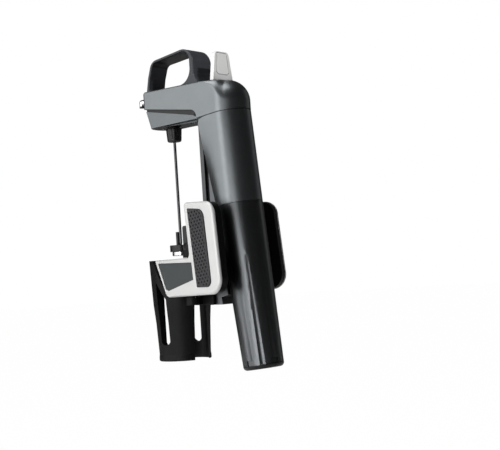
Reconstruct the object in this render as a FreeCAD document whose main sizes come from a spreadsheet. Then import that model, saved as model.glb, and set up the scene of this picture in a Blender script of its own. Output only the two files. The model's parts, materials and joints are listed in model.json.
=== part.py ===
"""Wine preservation dispenser: clamps on a bottle neck, feeds gas through a hollow needle and
pours through a spout. Millimetres, +Z up along the needle. The origin is on the needle's axis,
level with the top of the two jaws. The spout faces -Y and the gas tube leans away at +Y.
Pieces of the gas tube are drawn upright about their own axis, with their origin at the seam
between the upper body and the cup, and are tilted into place as they are placed."""
import FreeCAD, Part
import math
import os
import Sketcher

doc = FreeCAD.newDocument("dispenser")
sheet = doc.addObject("Spreadsheet::Sheet", "size")

SIZES = {
    # Fits between pieces
    "slide_gap": 0.3,
    "pivot_gap": 0.05,
    "seat_gap": 0.1,
    # Gas tube: upper body and cup
    "tilt": 6.1,
    "seam_y": 56.1,
    "seam_z": 36.8,
    "tube_radius": 16.1,
    "wall": 1.8,
    "body_height": 63.4,
    "seam_groove": 0.6,
    "cup_foot_radius": 13.95,
    "cup_foot_round": 2.8,
    "flute_radius": 4.5,
    "flute_depth": 0.7,
    "flute_lean": 1.65,
    "flute_reach": 100.0,
    "notch_width": 5.6,
    "notch_height": 3.6,
    # Gas capsule
    "capsule_radius": 11.0,
    "capsule_height": 89.0,
    "capsule_drop": 16.6,
    "capsule_neck_radius": 4.2,
    "capsule_neck_height": 7.0,
    "capsule_shoulder": 11.0,
    "capsule_wall": 1.6,
    "capsule_dome_share": 0.75,
    "capsule_foot_share": 0.45,
    "capsule_pierce_gap": 0.2,
    "capsule_inner_step": 0.6,
    "cushion_recess": 2.3,
    "cup_room": 5.0,
    # Regulator
    "spigot_height": 14.0,
    "regulator_height": 26.0,
    "regulator_chamber": 9.0,
    "regulator_floor": 5.0,
    "piston_height": 3.0,
    "regulator_cap_height": 4.0,
    "pin_radius": 0.9,
    "press_gap": 0.05,
    "piston_stem_radius": 2.5,
    "regulator_spring_gap": 1.6,
    "regulator_spring_inner": 3.0,
    "piercing_tip": 0.9,
    "seal_inset": 0.4,
    # Head
    "cheek": 15.5,
    "head_rise": 23.16,
    "nose_y": -12.5,
    "nose_bulge": 8.5,
    "cheek_drop_front": 12.4,
    "cheek_drop_rear": 18.4,
    "throat_y": 30.0,
    "body_front": 35.0,
    "crown_y": 51.7,
    "crown_split": 39.0,
    "crown_turn": 30.0,
    "crown_side_round": 8.0,
    "crown_round": 15.2,
    "nose_round": 1.4,
    "web_drop": 19.4,
    "crown_hollow_half": 7.4,
    "crown_hollow_drop": 3.2,
    # Chin cover
    "chin_drop": 26.4,
    "chin_top_drop_front": 14.2,
    "chin_top_drop_rear": 21.9,
    "keel_half": 8.6,
    "keel_front": -10.0,
    "keel_rise": 1.6,
    "chassis_floor": 1.2,
    "chassis_rear": 32.6,
    "chin_screw_front": -11.0,
    "chin_screw_rear": 23.6,
    "chin_screw_x": 5.2,
    "chin_half_top": 14.8,
    "chin_half_bottom": 12.6,
    "chin_nose_top": -13.4,
    "chin_nose_bottom": -10.0,
    "chin_bulge": 5.6,
    "post_radius": 2.4,
    "thread_hole": 1.25,
    "screw_radius": 1.2,
    "screw_head": 2.0,
    "screw_head_height": 1.2,
    "screw_sink": 1.6,
    # Handle
    "handle_half_front": 8.4,
    "handle_half_rear": 10.2,
    "handle_band": 2.4,
    "handle_thicken": 1.2,
    "handle_foot": 1.2,
    "handle_front": -16.9,
    "handle_rear": 30.4,
    "handle_rise": 26.9,
    "handle_flare": 5.0,
    "handle_rim": 0.8,
    # Trigger and valve
    "trigger_y": 46.0,
    "trigger_drop": 11.0,
    "trigger_height": 31.5,
    "trigger_base_half": 10.8,
    "trigger_top_half": 7.6,
    "trigger_thickness": 3.2,
    "blade_front": 0.4,
    "blade_corner": 1.6,
    "blade_corner_width": 1.8,
    "trigger_hub_radius": 2.8,
    "trigger_pin_radius": 1.5,
    "trigger_spring_room": 1.6,
    "trigger_spring_wire": 1.2,
    "trigger_travel": 3.4,
    "inset_depth": 0.6,
    "inset_top_half": 5.2,
    "inset_base_half": 6.7,
    "inset_corner": 1.6,
    "inset_margin": 0.8,
    "inset_reach": 16.0,
    "valve_drop": 5.6,
    "valve_front": 24.0,
    "stem_seat": 2.6,
    "valve_front_wall": 1.2,
    "stem_collar": 0.4,
    "stem_collar_height": 1.4,
    "valve_spring_wire": 0.8,
    "valve_depth": 14.0,
    "valve_half": 6.0,
    "stem_radius": 1.3,
    "stem_nose_radius": 0.8,
    "stem_nose_length": 1.2,
    "stem_clearance": 0.45,
    "stem_travel": 1.2,
    "gas_tube_y": 42.0,
    "line_radius": 1.3,
    # Needle, hub and socket
    "needle_radius": 1.0,
    "needle_bore": 0.55,
    "needle_tip": 10.5,
    "hub_height": 9.5,
    "hub_flute_radius": 0.8,
    "hub_flute_out": 0.35,
    "seal_seat": 1.2,
    "seal_section": 0.5,
    "seal_height": 0.55,
    "hub_drop": 27.3,
    "hub_radius": 5.65,
    "hub_foot_radius": 5.0,
    "hub_stem_radius": 3.0,
    "hub_stem_height": 9.0,
    "socket_radius": 7.0,
    "socket_drop": 2.4,
    # Spout
    "spout_drop": 4.5,
    "spout_reach": 29.2,
    "spout_step": 0.2,
    "spout_radius": 2.3,
    "spout_bore": 1.3,
    "mouth_height": 1.2,
    # Rail and spine
    "rail_y": 28.3,
    "rail_flange": 3.2,
    "rail_half": 6.0,
    "rail_web": 3.7,
    "rail_screw_head": 2.3,
    "rail_screw_length": 4.6,
    "rail_screw_low": 12,
    "rail_screw_middle": 66,
    "rail_screw_high": 14,
    "spine_screw_high": 8,
    "spine_screw_low": 33,
    "spine_y": 35.0,
    "spine_half": 6.4,
    "spine_split": 32.6,
    "spine_gap": 0.6,
    "spine_screw": 1.6,
    "spine_screw_height": 1.8,
    "rail_drop": 0.4,
    "spine_trim": 6.0,
    "stop_height": 1.9,
    "stop_half": 3.0,
    "stop_depth": 2.6,
    # Carriage and needle guide
    "carriage_bottom": -31.0,
    "carriage_top": 34.0,
    "carriage_front": 18.2,
    "carriage_half": 9.0,
    "guide_bottom": 7.6,
    "guide_thickness": 4.6,
    "guide_radius": 8.0,
    "bush_radius": 6.5,
    "bush_height": 3.0,
    "bush_bore_gap": 0.9,
    "prong_front_half": 1.1,
    "prong_front_y": -3.5,
    "prong_depth": 1.8,
    "prong_front_top": 21.7,
    "prong_rear_half": 3.4,
    "prong_rear_y": 5.0,
    "prong_rear_depth": 5.4,
    "prong_shoulder": 1.6,
    "prong_rear_top": 25.5,
    "arm_half": 5.0,
    "guide_clearance": 0.4,
    # Jaws
    "bottle_radius": 15.0,
    "jaw_rise": 2.0,
    "jaw_height": 71.4,
    "jaw_top_radius": 21.7,
    "jaw_foot_radius": 18.3,
    "jaw_lip_radius": 18.6,
    "jaw_lip": 4.0,
    "jaw_shift": 2.4,
    "jaw_cover": 123.0,
    "jaw_turn": 1.5,
    "window_front": -8.0,
    "window_rear": 0.6,
    "window_top": -13.0,
    "window_bottom": -58.0,
    "window_round": 2.4,
    "pivot_x": 16.5,
    "pivot_y": 22.0,
    "pivot_radius": 2.0,
    "boss_radius": 4.6,
    "boss_top": 2.2,
    "boss_bottom": -24.9,
    "lug_height": 5.4,
    "lug_arm_half": 3.4,
    "pivot_play": 0.02,
    "pad_edge": 0.8,
    "pad_inner": 1.6,
    "pad_width": 3.6,
    "jaw_spring_wire": 1.6,
    "jaw_spring_height": 4.6,
    # Wings of the jaws
    "wing_x": 21.4,
    "wing_flare": 13.6,
    "wing_plate": 5.1,
    "wing_margin": 0.4,
    "wing_front": -9.9,
    "wing_rear": 66.8,
    "wing_top": 39.8,
    "wing_bottom": -24.4,
    "wing_ledge": 2.0,
    "wing_notch": 32.4,
    "notch_lean": 2.4,
    "frame_thickness": 2.4,
    "frame_round": 1.8,
    "pad_proud": 0.4,
    "inset_sink": 0.8,
}
for row, (alias, number) in enumerate(SIZES.items(), start=1):
    sheet.set(f"A{row}", alias)
    sheet.set(f"B{row}", str(number))
    sheet.setAlias(f"B{row}", alias)
doc.recompute()

NODES = []
ORIGIN = ("0", "0", "0")


def value(expression):
    """The number that an expression over the sheet gives now."""
    return float(sheet.evalExpression(expression))


# Helpers: sketches


def sketch_on(body, role, name, offset=None):
    """An empty sketch on one of the body's own origin planes, or parallel to it at an offset."""
    plane = next(item for item in body.Origin.OriginFeatures if item.Role == role)
    sketch = body.newObject("Sketcher::SketchObject", name)
    sketch.AttachmentSupport = [(plane, "")]
    sketch.MapMode = "FlatFace"
    if offset:
        sketch.setExpression(".AttachmentOffset.Base.z", offset)
    return sketch


def pin(sketch, geometry, vertex, point):
    """Holds one vertex of a sketch at a point given by two expressions."""
    for kind, expression in zip(("DistanceX", "DistanceY"), point):
        index = sketch.addConstraint(
            Sketcher.Constraint(kind, -1, 1, geometry, vertex, value(expression)))
        sketch.setExpression(f"Constraints[{index}]", expression)


def outline(sketch, corners):
    """A closed outline. A corner is (x, y), or (x, y, (x, y)) where the side that leaves it is
    an arc through the second point."""
    vectors = [FreeCAD.Vector(value(corner[0]), value(corner[1]), 0) for corner in corners]
    count = len(corners)
    for index, corner in enumerate(corners):
        start = vectors[index]
        end = vectors[(index + 1) % count]
        if len(corner) == 2:
            sketch.addGeometry(Part.LineSegment(start, end), False)
        else:
            middle = FreeCAD.Vector(value(corner[2][0]), value(corner[2][1]), 0)
            sketch.addGeometry(Part.Arc(start, middle, end), False)
    ends = [arc_ends(sketch, index, vectors[index]) for index in range(count)]
    for index, corner in enumerate(corners):
        following = (index + 1) % count
        sketch.addConstraint(Sketcher.Constraint(
            "Coincident", index, ends[index][1], following, ends[following][0]))
        pin(sketch, index, ends[index][0], corner[:2])
    for index, corner in enumerate(corners):
        if len(corner) == 3:
            middle = FreeCAD.Vector(value(corner[2][0]), value(corner[2][1]), 0)
            point = sketch.addGeometry(Part.Point(middle), True)
            pin(sketch, point, 1, corner[2])
            sketch.addConstraint(Sketcher.Constraint("PointOnObject", point, 1, index))
    return sketch


def arc_ends(sketch, index, start):
    """Which vertex of a side is its start and which its end: arcs always run anticlockwise."""
    if sketch.getPoint(index, 1).distanceToPoint(start) < 1e-6:
        return 1, 2
    return 2, 1


# Helpers: solids


def new_body(name):
    return doc.addObject("PartDesign::Body", name)


def grow(body, kind, sketch, **settings):
    """Adds a sketched feature. A text value is an expression over the sheet."""
    feature = body.newObject(f"PartDesign::{kind}", f"{sketch.Name}_{kind}")
    feature.Profile = sketch
    sketch.Visibility = False
    apply(feature, settings)
    return feature


def apply(feature, settings):
    for key, setting in settings.items():
        if isinstance(setting, str) and key not in ("SideType", "Type"):
            feature.setExpression(key, setting)
        else:
            setattr(feature, key, setting)


def prism(name, role, corners, length, symmetric=False, reverse=False, offset=None):
    """A body that pads one closed outline."""
    body = new_body(name)
    sketch = outline(sketch_on(body, role, f"{name}_outline", offset), corners)
    side = "Symmetric" if symmetric else "One side"
    grow(body, "Pad", sketch, Length=length, SideType=side, Reversed=reverse)
    return body


def turned(name, corners, angle="360"):
    """A body turned about the Z axis. Corners are (radius, height)."""
    body = new_body(name)
    sketch = outline(sketch_on(body, "XZ_Plane", f"{name}_outline"), corners)
    feature = body.newObject("PartDesign::Revolution", f"{name}_turn")
    feature.Profile = sketch
    feature.ReferenceAxis = (sketch, ["V_Axis"])
    feature.Midplane = True
    feature.setExpression("Angle", angle)
    return body


def place(item, at=ORIGIN, axis=(0, 0, 1), angle="0"):
    """Places an item at three expressions, turned about an axis by an angle in degrees."""
    item.Placement = FreeCAD.Placement(
        FreeCAD.Vector(*[value(part) for part in at]),
        FreeCAD.Rotation(FreeCAD.Vector(*axis), value(angle)))
    for letter, expression in zip("xyz", at):
        item.setExpression(f".Placement.Base.{letter}", expression)
    if angle != "0":
        for letter, share in zip("xyz", axis):
            item.setExpression(f".Placement.Rotation.Axis.{letter}", str(share))
        item.setExpression(".Placement.Rotation.Angle", angle)
    return item


def cylinder(name, radius, height, at=ORIGIN, along="z"):
    """A cylinder from a point towards +Z, +Y or +X."""
    item = doc.addObject("Part::Cylinder", name)
    item.setExpression("Radius", radius)
    item.setExpression("Height", height)
    axis, angle = {"z": ((0, 0, 1), "0"), "y": ((1, 0, 0), "-90"), "x": ((0, 1, 0), "90")}[along]
    return place(item, at, axis, angle)


def box(name, low, high):
    """A box between two opposite corners."""
    item = doc.addObject("Part::Box", name)
    for key, start, end in zip(("Length", "Width", "Height"), low, high):
        item.setExpression(key, f"({end}) - ({start})")
    return place(item, low)


def ring(name, outer, inner, height, at=ORIGIN, along="z"):
    """A plain tube."""
    rim = cylinder(f"{name}_rim", outer, height, at, along)
    hole = cylinder(f"{name}_hole", inner, height, at, along)
    return cut(name, rim, hole)


def cut(name, base, *tools):
    item = doc.addObject("Part::Cut", name)
    item.Base = base
    item.Tool = tools[0] if len(tools) == 1 else fuse(f"{name}_tools", *tools)
    return item


def fuse(name, *pieces):
    item = doc.addObject("Part::MultiFuse", name)
    item.Shapes = list(pieces)
    return item


def common(name, first, second):
    item = doc.addObject("Part::Common", name)
    item.Base = first
    item.Tool = second
    return item


def group(name, *pieces):
    """Separate solids that share one node."""
    item = doc.addObject("Part::Compound", name)
    item.Links = list(pieces)
    return item


def runs_left(edge, middle):
    """Whether an edge runs anticlockwise about a point, seen from above."""
    half_way = (edge.FirstParameter + edge.LastParameter) / 2
    spot, tangent = edge.valueAt(half_way) - middle, edge.tangentAt(half_way)
    return spot.x * tangent.y > spot.y * tangent.x


def rounded(name, base, radius, choose):
    """Rounds the edges that choose picks. radius is one expression, or a pair for each key that
    choose gives: the rounding at the edge's low-Y end and at its high-Y end. The first edge
    sets the way round in which each pair is read."""
    doc.recompute()
    ends = radius if isinstance(radius, dict) else {None: (radius, radius)}
    item = doc.addObject("Part::Fillet", name)
    item.Base = base
    middle = base.Shape.BoundBox.Center
    edges = []
    first_way = None
    for index, edge in enumerate(base.Shape.Edges, start=1):
        key = choose(edge)
        if key is False:
            continue
        low, high = (value(end) for end in ends[None if key is True else key])
        way = runs_left(edge, middle)
        first_way = way if first_way is None else first_way
        rises = edge.valueAt(edge.FirstParameter).y <= edge.valueAt(edge.LastParameter).y
        edges.append((index, low, high) if rises == (way == first_way) else (index, high, low))
    item.Edges = edges
    return item


def node(name, item, tilted=False):
    """Names a finished piece. The pieces of the gas tube are tilted into place."""
    item.Label = name
    if tilted:
        place(item, ("0", "size.seam_y", "size.seam_z"), (1, 0, 0), "size.tilt")
    NODES.append(item)
    return item


def flat(edge, tolerance=1e-4):
    """The height of a level edge, or None."""
    box_ = edge.BoundBox
    return box_.ZMin if box_.ZLength < tolerance else None


# Heights hang from the body, so the head rides on it and its parts follow

CUP_HEIGHT = "(size.capsule_drop + size.capsule_height + size.cup_room)"
RAIL_BOTTOM = "(size.carriage_bottom - size.rail_drop)"
HEAD_TOP = "(size.seam_z + size.body_height * cos(size.tilt) + size.head_rise)"
TRIGGER_Z = f"({HEAD_TOP} - size.trigger_drop)"
VALVE_Z = f"({HEAD_TOP} - size.valve_drop)"
SPOUT_Z = f"({HEAD_TOP} - size.spout_drop)"
WEB_TOP = f"({HEAD_TOP} - size.web_drop)"
CROWN_HOLLOW_TOP = f"({HEAD_TOP} - size.crown_hollow_drop)"
SOCKET_TOP = f"({HEAD_TOP} - size.socket_drop)"
CHIN_BOTTOM = f"({HEAD_TOP} - size.chin_drop)"
CHEEK_LOW_FRONT = f"({HEAD_TOP} - size.cheek_drop_front)"
CHEEK_LOW_REAR = f"({HEAD_TOP} - size.cheek_drop_rear)"
CHIN_HIGH_FRONT = f"({HEAD_TOP} - size.chin_top_drop_front)"
CHIN_HIGH_REAR = f"({HEAD_TOP} - size.chin_top_drop_rear)"
HUB_TOP = f"({HEAD_TOP} - size.hub_drop)"
HUB_BOTTOM = f"({HUB_TOP} - size.hub_height)"
FAR_FRONT = "(size.nose_y - size.nose_bulge - size.cheek)"
WIDE = "(2 * size.cheek + 4)"

# Head: cap over the valve, joined to the top of the gas tube along a slanted seam

SEAM_TAN = "tan(size.tilt)"
SEAM_HEIGHT = "(size.seam_z + size.body_height * cos(size.tilt))"
SEAM_MIDDLE = "(size.seam_y - size.body_height * sin(size.tilt))"


def seam_at(y):
    """Height of the head's seam plane at a place along Y."""
    return f"{SEAM_HEIGHT} + ({y} - {SEAM_MIDDLE}) * {SEAM_TAN}"


CHEEK_SLOPE = f"({CHEEK_LOW_REAR} - {CHEEK_LOW_FRONT}) / (size.throat_y - size.nose_y)"


def cheek_low(y):
    """Height of the cheek's lower edge at a place along Y."""
    return f"{CHEEK_LOW_FRONT} + ({y} - size.nose_y) * {CHEEK_SLOPE}"


def head_plan(inset, split=False):
    """The head seen from above: a bowed nose, straight cheeks and a round crown, whose arc may
    be split where its top edge changes from one rounding to the next."""
    half = f"(size.cheek - {inset})"
    nose = f"(size.nose_y - size.nose_bulge + {inset})"
    crown = f"(size.crown_y + size.cheek - {inset})"
    nose_left = (f"-{half}", f"size.nose_y + {inset} / 2", ("0", nose))
    nose_right = (half, f"size.nose_y + {inset} / 2")
    if not split:
        return [nose_right, (half, "size.crown_y", ("0", crown)), (f"-{half}", "size.crown_y"), nose_left]
    turn_x, turn_y = f"{half} * cos(size.crown_turn)", f"size.crown_y + {half} * sin(size.crown_turn)"
    mid_x = f"{half} * cos(size.crown_turn / 2)"
    mid_y = f"size.crown_y + {half} * sin(size.crown_turn / 2)"
    return [
        nose_right, (half, "size.crown_y", (mid_x, mid_y)), (turn_x, turn_y, ("0", crown)),
        (f"-{turn_x}", turn_y, (f"-{mid_x}", mid_y)), (f"-{half}", "size.crown_y"), nose_left]


def build_head():
    far_front = "size.nose_y - size.nose_bulge - 2"
    far_rear = "size.crown_y + size.cheek + 2"
    profile = [
        (far_front, HEAD_TOP),
        (far_front, cheek_low(f"({far_front})")),
        ("size.throat_y", CHEEK_LOW_REAR,
         ("size.body_front - 1.5", f"{CHEEK_LOW_REAR} - 1.5")),
        ("size.body_front", seam_at("size.body_front")),
        (far_rear, seam_at(f"({far_rear})")),
        (far_rear, HEAD_TOP),
    ]
    side = prism("head_side", "YZ_Plane", profile, WIDE, symmetric=True)
    plan = prism("head_plan", "XY_Plane", head_plan("0", split=True), HEAD_TOP, offset="size.seam_z")
    plan.Tip.Refine = False
    block = common("head_block", side, plan)
    behind = box("head_behind", (f"-{WIDE}", "size.crown_split", "size.seam_z"),
                 (WIDE, far_rear, f"{HEAD_TOP} + 1"))

    def top_edge(edge):
        level = flat(edge)
        across = edge.BoundBox.YLength < 1e-4
        if level is None or across or abs(level - value(HEAD_TOP)) > 1e-3:
            return False
        if edge.BoundBox.YMax < value("size.crown_y") + 0.01:
            return "side"
        return "turning" if edge.BoundBox.YMin < value("size.crown_y") + 0.01 else "crown"

    nose = rounded("head_nose", cut("nose_block", block, behind), {
        "side": ("size.nose_round", "size.nose_round")}, top_edge)
    crown = rounded("head_crown", common("crown_block", block, behind), {
        "crown": ("size.crown_round", "size.crown_round"),
        "turning": ("size.crown_side_round", "size.crown_round"),
        "side": ("size.nose_round", "size.crown_side_round")}, top_edge)
    return fuse("head_soft", nose, crown)


def head_cavity():
    """Hollow of the head: deep in the nose, stepped under the crown."""
    inner = "(size.cheek - size.wall)"
    roof = f"{HEAD_TOP} - size.wall"
    plan = prism("cavity_plan", "XY_Plane", head_plan("size.wall"), HEAD_TOP, offset="size.seam_z")
    nose = box("cavity_nose", (f"-{inner}", "size.nose_y - size.nose_bulge", "size.seam_z"),
               (inner, "size.throat_y - size.wall", roof))
    bridge = box("cavity_bridge", (f"-{inner}", "size.throat_y - size.wall - 1", WEB_TOP),
                 (inner, "size.body_front + size.wall", TRIGGER_Z))
    rear = box("cavity_rear", (f"-{inner}", "size.body_front + size.wall", "size.seam_z"),
               (inner, "size.crown_y + size.cheek", TRIGGER_Z))
    crown = box("cavity_crown", ("-size.crown_hollow_half", "size.throat_y - size.wall - 1", WEB_TOP),
                ("size.crown_hollow_half", "size.crown_y + 2", CROWN_HOLLOW_TOP))
    return common("cavity_shape", fuse("cavity_boxes", nose, bridge, rear, crown), plan)


slot_front = "size.trigger_y - 1 - size.trigger_travel"
slot_rear = "size.trigger_y - size.blade_front + size.trigger_thickness + size.slide_gap"
slot_half = "(size.trigger_base_half + size.slide_gap)"
head_solid = build_head()
trigger_slot = box("trigger_slot", (f"-{slot_half}", slot_front, f"{TRIGGER_Z} - 5"),
                   (slot_half, slot_rear, f"{HEAD_TOP} + 2"))
pin_reach = "(size.cheek - size.wall / 2)"
pin_bore = cylinder("pin_bore", "size.trigger_pin_radius", f"2 * {pin_reach}",
                    (f"-{pin_reach}", "size.trigger_y", TRIGGER_Z), "x")
spring_pocket = cylinder("spring_pocket", "size.trigger_pin_radius + size.trigger_spring_room",
                         "size.cheek - size.wall - size.trigger_base_half",
                         ("size.trigger_base_half", "size.trigger_y", TRIGGER_Z), "x")
spout_hole = cylinder("spout_hole", "size.spout_radius + size.seat_gap", "size.spout_reach",
                      ("0", "-size.spout_reach - 8", SPOUT_Z), "y")
node("head_shell", cut("head_shell", head_solid, head_cavity(), trigger_slot, pin_bore, spring_pocket,
                       spout_hole))

# Chin cover: tapered tray under the nose


def chin_section(half, nose, bulge, inset):
    width = f"({half} - {inset})"
    return [(width, f"{nose} + {inset} / 2"), (width, f"size.body_front - 0.3 - {inset}"),
            (f"-{width}", f"size.body_front - 0.3 - {inset}"),
            (f"-{width}", f"{nose} + {inset} / 2", ("0", f"{nose} - {bulge} + {inset}"))]


def chin_high(y):
    """Height of the chin's upper edge at a place along Y."""
    return (f"{CHIN_HIGH_FRONT} + (({y}) - size.nose_y) * "
            f"({CHIN_HIGH_REAR} - {CHIN_HIGH_FRONT}) / (size.throat_y - size.nose_y)")


def chin_loft(name, inset, bottom):
    """The tapered tray, or its hollow, between two levels."""
    body = new_body(name)
    sketches = []
    for level, half, nose in ((bottom, "size.chin_half_bottom", "size.chin_nose_bottom"),
                              (f"{CHEEK_LOW_FRONT} + 2", "size.chin_half_top", "size.chin_nose_top")):
        sketch = sketch_on(body, "XY_Plane", f"{name}_{len(sketches)}", level)
        sketches.append(outline(sketch, chin_section(half, nose, "size.chin_bulge", inset)))
    loft = body.newObject("PartDesign::AdditiveLoft", f"{name}_loft")
    loft.Profile = sketches[0]
    loft.Sections = sketches[1:]
    loft.Ruled = True
    return body


def keel_sides(name, inset):
    """Wedges that lift the lower edge of both flanks towards the rear."""
    low = f"{CHIN_BOTTOM} + {inset}"
    wedge = [("size.keel_front", low), ("size.keel_front", f"{CHIN_BOTTOM} - 1"),
             ("size.body_front + 1", f"{CHIN_BOTTOM} - 1"),
             ("size.body_front + 1", f"{low} + size.keel_rise")]
    reach = f"(size.cheek - size.keel_half + {inset})"
    return [prism(f"{name}_left", "YZ_Plane", wedge, reach, offset=f"size.keel_half - {inset}"),
            prism(f"{name}_right", "YZ_Plane", wedge, reach, offset="-size.cheek")]


chin_profile = [
    (FAR_FRONT, f"{CHIN_BOTTOM} - 1"), ("size.body_front", f"{CHIN_BOTTOM} - 1"),
    ("size.body_front", f"{CHEEK_LOW_REAR} - 6"),
    ("size.throat_y", CHIN_HIGH_REAR), (FAR_FRONT, chin_high(FAR_FRONT))]
chin_side = prism("chin_side", "YZ_Plane", chin_profile, WIDE, symmetric=True)
chin_trimmed = common("chin_trimmed", chin_loft("chin_block", "0", CHIN_BOTTOM), chin_side)
chin_outer = cut("chin_outer", chin_trimmed, *keel_sides("keel_cut", "0"))
chin_hollow = cut("chin_hollow", chin_loft("chin_room", "size.wall", f"{CHIN_BOTTOM} + size.wall"),
                  *keel_sides("keel_wall", "size.wall"))
chin_tray = cut("chin_tray", chin_outer, chin_hollow)
BELOW_CHIN = f"({CHIN_BOTTOM} - size.wall)"
socket_hole = cylinder("socket_hole", "size.socket_radius + size.seat_gap", "4 * size.wall",
                       ("0", "0", BELOW_CHIN))
SCREW_SPOTS = [("0", "size.chin_screw_front"), ("size.chin_screw_x", "size.chin_screw_rear"),
               ("-size.chin_screw_x", "size.chin_screw_rear")]
POST_FOOT = f"({CHIN_BOTTOM} + size.wall / 2)"
posts = [cylinder(f"chin_post_{index}", "size.post_radius",
                  f"{chin_high(y + ' + size.post_radius')} - {POST_FOOT}", (x, y, POST_FOOT))
         for index, (x, y) in enumerate(SCREW_SPOTS)]
post_holes = [cylinder(f"post_hole_{index}", "size.thread_hole", "size.head_rise", (x, y, BELOW_CHIN))
              for index, (x, y) in enumerate(SCREW_SPOTS)]
head_holes = [cylinder(f"screw_sink_{index}", "size.screw_head + size.seat_gap",
                       "size.wall + size.screw_sink", (x, y, BELOW_CHIN))
              for index, (x, y) in enumerate(SCREW_SPOTS)]
node("chin_cover", cut("chin_cover", fuse("chin_full", chin_tray, *posts),
                       socket_hole, *post_holes, *head_holes))

# Chassis: dark frame that closes the gap between the head and the chin and holds the valve

chassis_block = prism("chassis_block", "XY_Plane", head_plan("size.wall"), "size.head_rise",
                      offset=CHIN_BOTTOM)
chassis_room = prism("chassis_room", "XY_Plane", head_plan("(2 * size.wall)"), "size.head_rise + 2",
                     offset=f"{CHIN_BOTTOM} - 1")
deck_front = f"{chin_high(FAR_FRONT)} + size.seat_gap"
deck_rear = f"{chin_high('size.chassis_rear')} + size.seat_gap"
band = prism("chassis_band", "YZ_Plane", [
    (FAR_FRONT, deck_front), ("size.chassis_rear", deck_rear),
    ("size.chassis_rear", cheek_low("size.chassis_rear") + " + 1"),
    (FAR_FRONT, cheek_low(f"({FAR_FRONT})") + " + 1")], WIDE, symmetric=True)
floor = prism("chassis_plate", "YZ_Plane", [
    (FAR_FRONT, deck_front), ("size.chassis_rear", deck_rear),
    ("size.chassis_rear", f"{deck_rear} + size.chassis_floor"),
    (FAR_FRONT, f"{deck_front} + size.chassis_floor")], WIDE, symmetric=True)
chassis_rim = cut("chassis_rim", common("chassis_outer", chassis_block, band), chassis_room)
chassis_deck = common("chassis_deck", chassis_block, floor)
chassis_holes = [cylinder(f"chassis_hole_{index}", "size.thread_hole", "size.head_rise",
                          (x, y, CHIN_BOTTOM))
                 for index, (x, y) in enumerate(SCREW_SPOTS)]
chassis_socket = cylinder("chassis_socket", "size.socket_radius + size.seat_gap", "size.head_rise + 2",
                          ("0", "0", f"{CHIN_BOTTOM} - 1"))
node("head_chassis", cut("head_chassis", fuse("chassis_full", chassis_rim, chassis_deck),
                         chassis_socket, *chassis_holes))


def screw(name, spot, head_radius, head_height, shank_radius, shank_length):
    """A pan screw standing on its head, shank up."""
    head = cylinder(f"{name}_head", head_radius, head_height, spot)
    top = (spot[0], spot[1], f"{spot[2]} + {head_height}")
    shank = cylinder(f"{name}_shank", shank_radius, shank_length, top)
    return fuse(name, head, shank)


node("chin_screws", group("chin_screws", *[
    screw(f"chin_screw_{index}", (x, y, f"{CHIN_BOTTOM} + 0.2"), "size.screw_head",
          "size.screw_head_height", "size.screw_radius", f"{chin_high(y)} - {CHIN_BOTTOM}")
    for index, (x, y) in enumerate(SCREW_SPOTS)]))

# Handle: a flat band closed into a ring on top of the nose

LOOP_TOP = f"({HEAD_TOP} + size.handle_rise)"
BAND = "size.handle_band"
FOOT = f"({HEAD_TOP} + size.handle_foot)"
OUTER_LOOP = {
    "front_foot": ("size.handle_front", HEAD_TOP),
    "front_bend": ("size.handle_front + 2.4", f"{HEAD_TOP} + 11"),
    "front_top": ("size.handle_front + 6.4", f"{LOOP_TOP} - 4.6"),
    "rear_top": ("size.handle_rear", f"{LOOP_TOP} + 0.6"),
    "rear_bend": ("size.handle_rear", f"{HEAD_TOP} + size.handle_flare + 1.6"),
    "rear_foot": ("size.handle_rear + size.handle_flare - 1", HEAD_TOP),
}
INNER_LOOP = {
    "inner_foot": (f"size.handle_front + {BAND} + 0.4", FOOT),
    "inner_bend": (f"size.handle_front + {BAND} + 2.2", f"{HEAD_TOP} + 10.6"),
    "inner_top": (f"size.handle_front + {BAND} + 5.6", f"{LOOP_TOP} - {BAND} - 4"),
    "inner_rear": (f"size.handle_rear - {BAND} - size.handle_thicken", f"{LOOP_TOP} - {BAND} + 0.4"),
    "inner_heel": (f"size.handle_rear - {BAND} - size.handle_thicken", FOOT),
}
LOOP_RADII = {
    "front_bend": "12", "front_top": "7.5", "rear_top": "10.5", "rear_bend": "5",
    "inner_foot": "1.5", "inner_bend": "10", "inner_top": "4.6", "inner_rear": "6.2", "inner_heel": "11",
}
handle_block = prism("handle_block", "YZ_Plane", list(OUTER_LOOP.values()), WIDE, symmetric=True)
loop_gap = prism("loop_gap", "YZ_Plane", list(INNER_LOOP.values()), f"{WIDE} + 2", symmetric=True)


def handle_half(y):
    """Half the width of the band at a place along Y: it widens towards the rear."""
    share = f"(({y}) - size.handle_front) / (size.handle_rear - size.handle_front)"
    return f"(size.handle_half_front + {share} * (size.handle_half_rear - size.handle_half_front))"


PLAN_FRONT = "(size.handle_front - 1)"
PLAN_REAR = "(size.handle_rear + size.handle_flare)"
handle_plan = prism("handle_plan", "XY_Plane", [
    (f"-{handle_half(PLAN_FRONT)}", PLAN_FRONT), (handle_half(PLAN_FRONT), PLAN_FRONT),
    (handle_half(PLAN_REAR), PLAN_REAR), (f"-{handle_half(PLAN_REAR)}", PLAN_REAR)],
    "size.handle_rise + 2", offset=HEAD_TOP)


def loop_corner(edge):
    """Names the corner of the loop that a cross edge lies on."""
    box_ = edge.BoundBox
    if box_.XLength < value("size.cheek"):
        return False
    for name, (y, z) in {**OUTER_LOOP, **INNER_LOOP}.items():
        if name in LOOP_RADII and abs(box_.YMin - value(y)) + abs(box_.ZMin - value(z)) < 1e-3:
            return name
    return False


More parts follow.
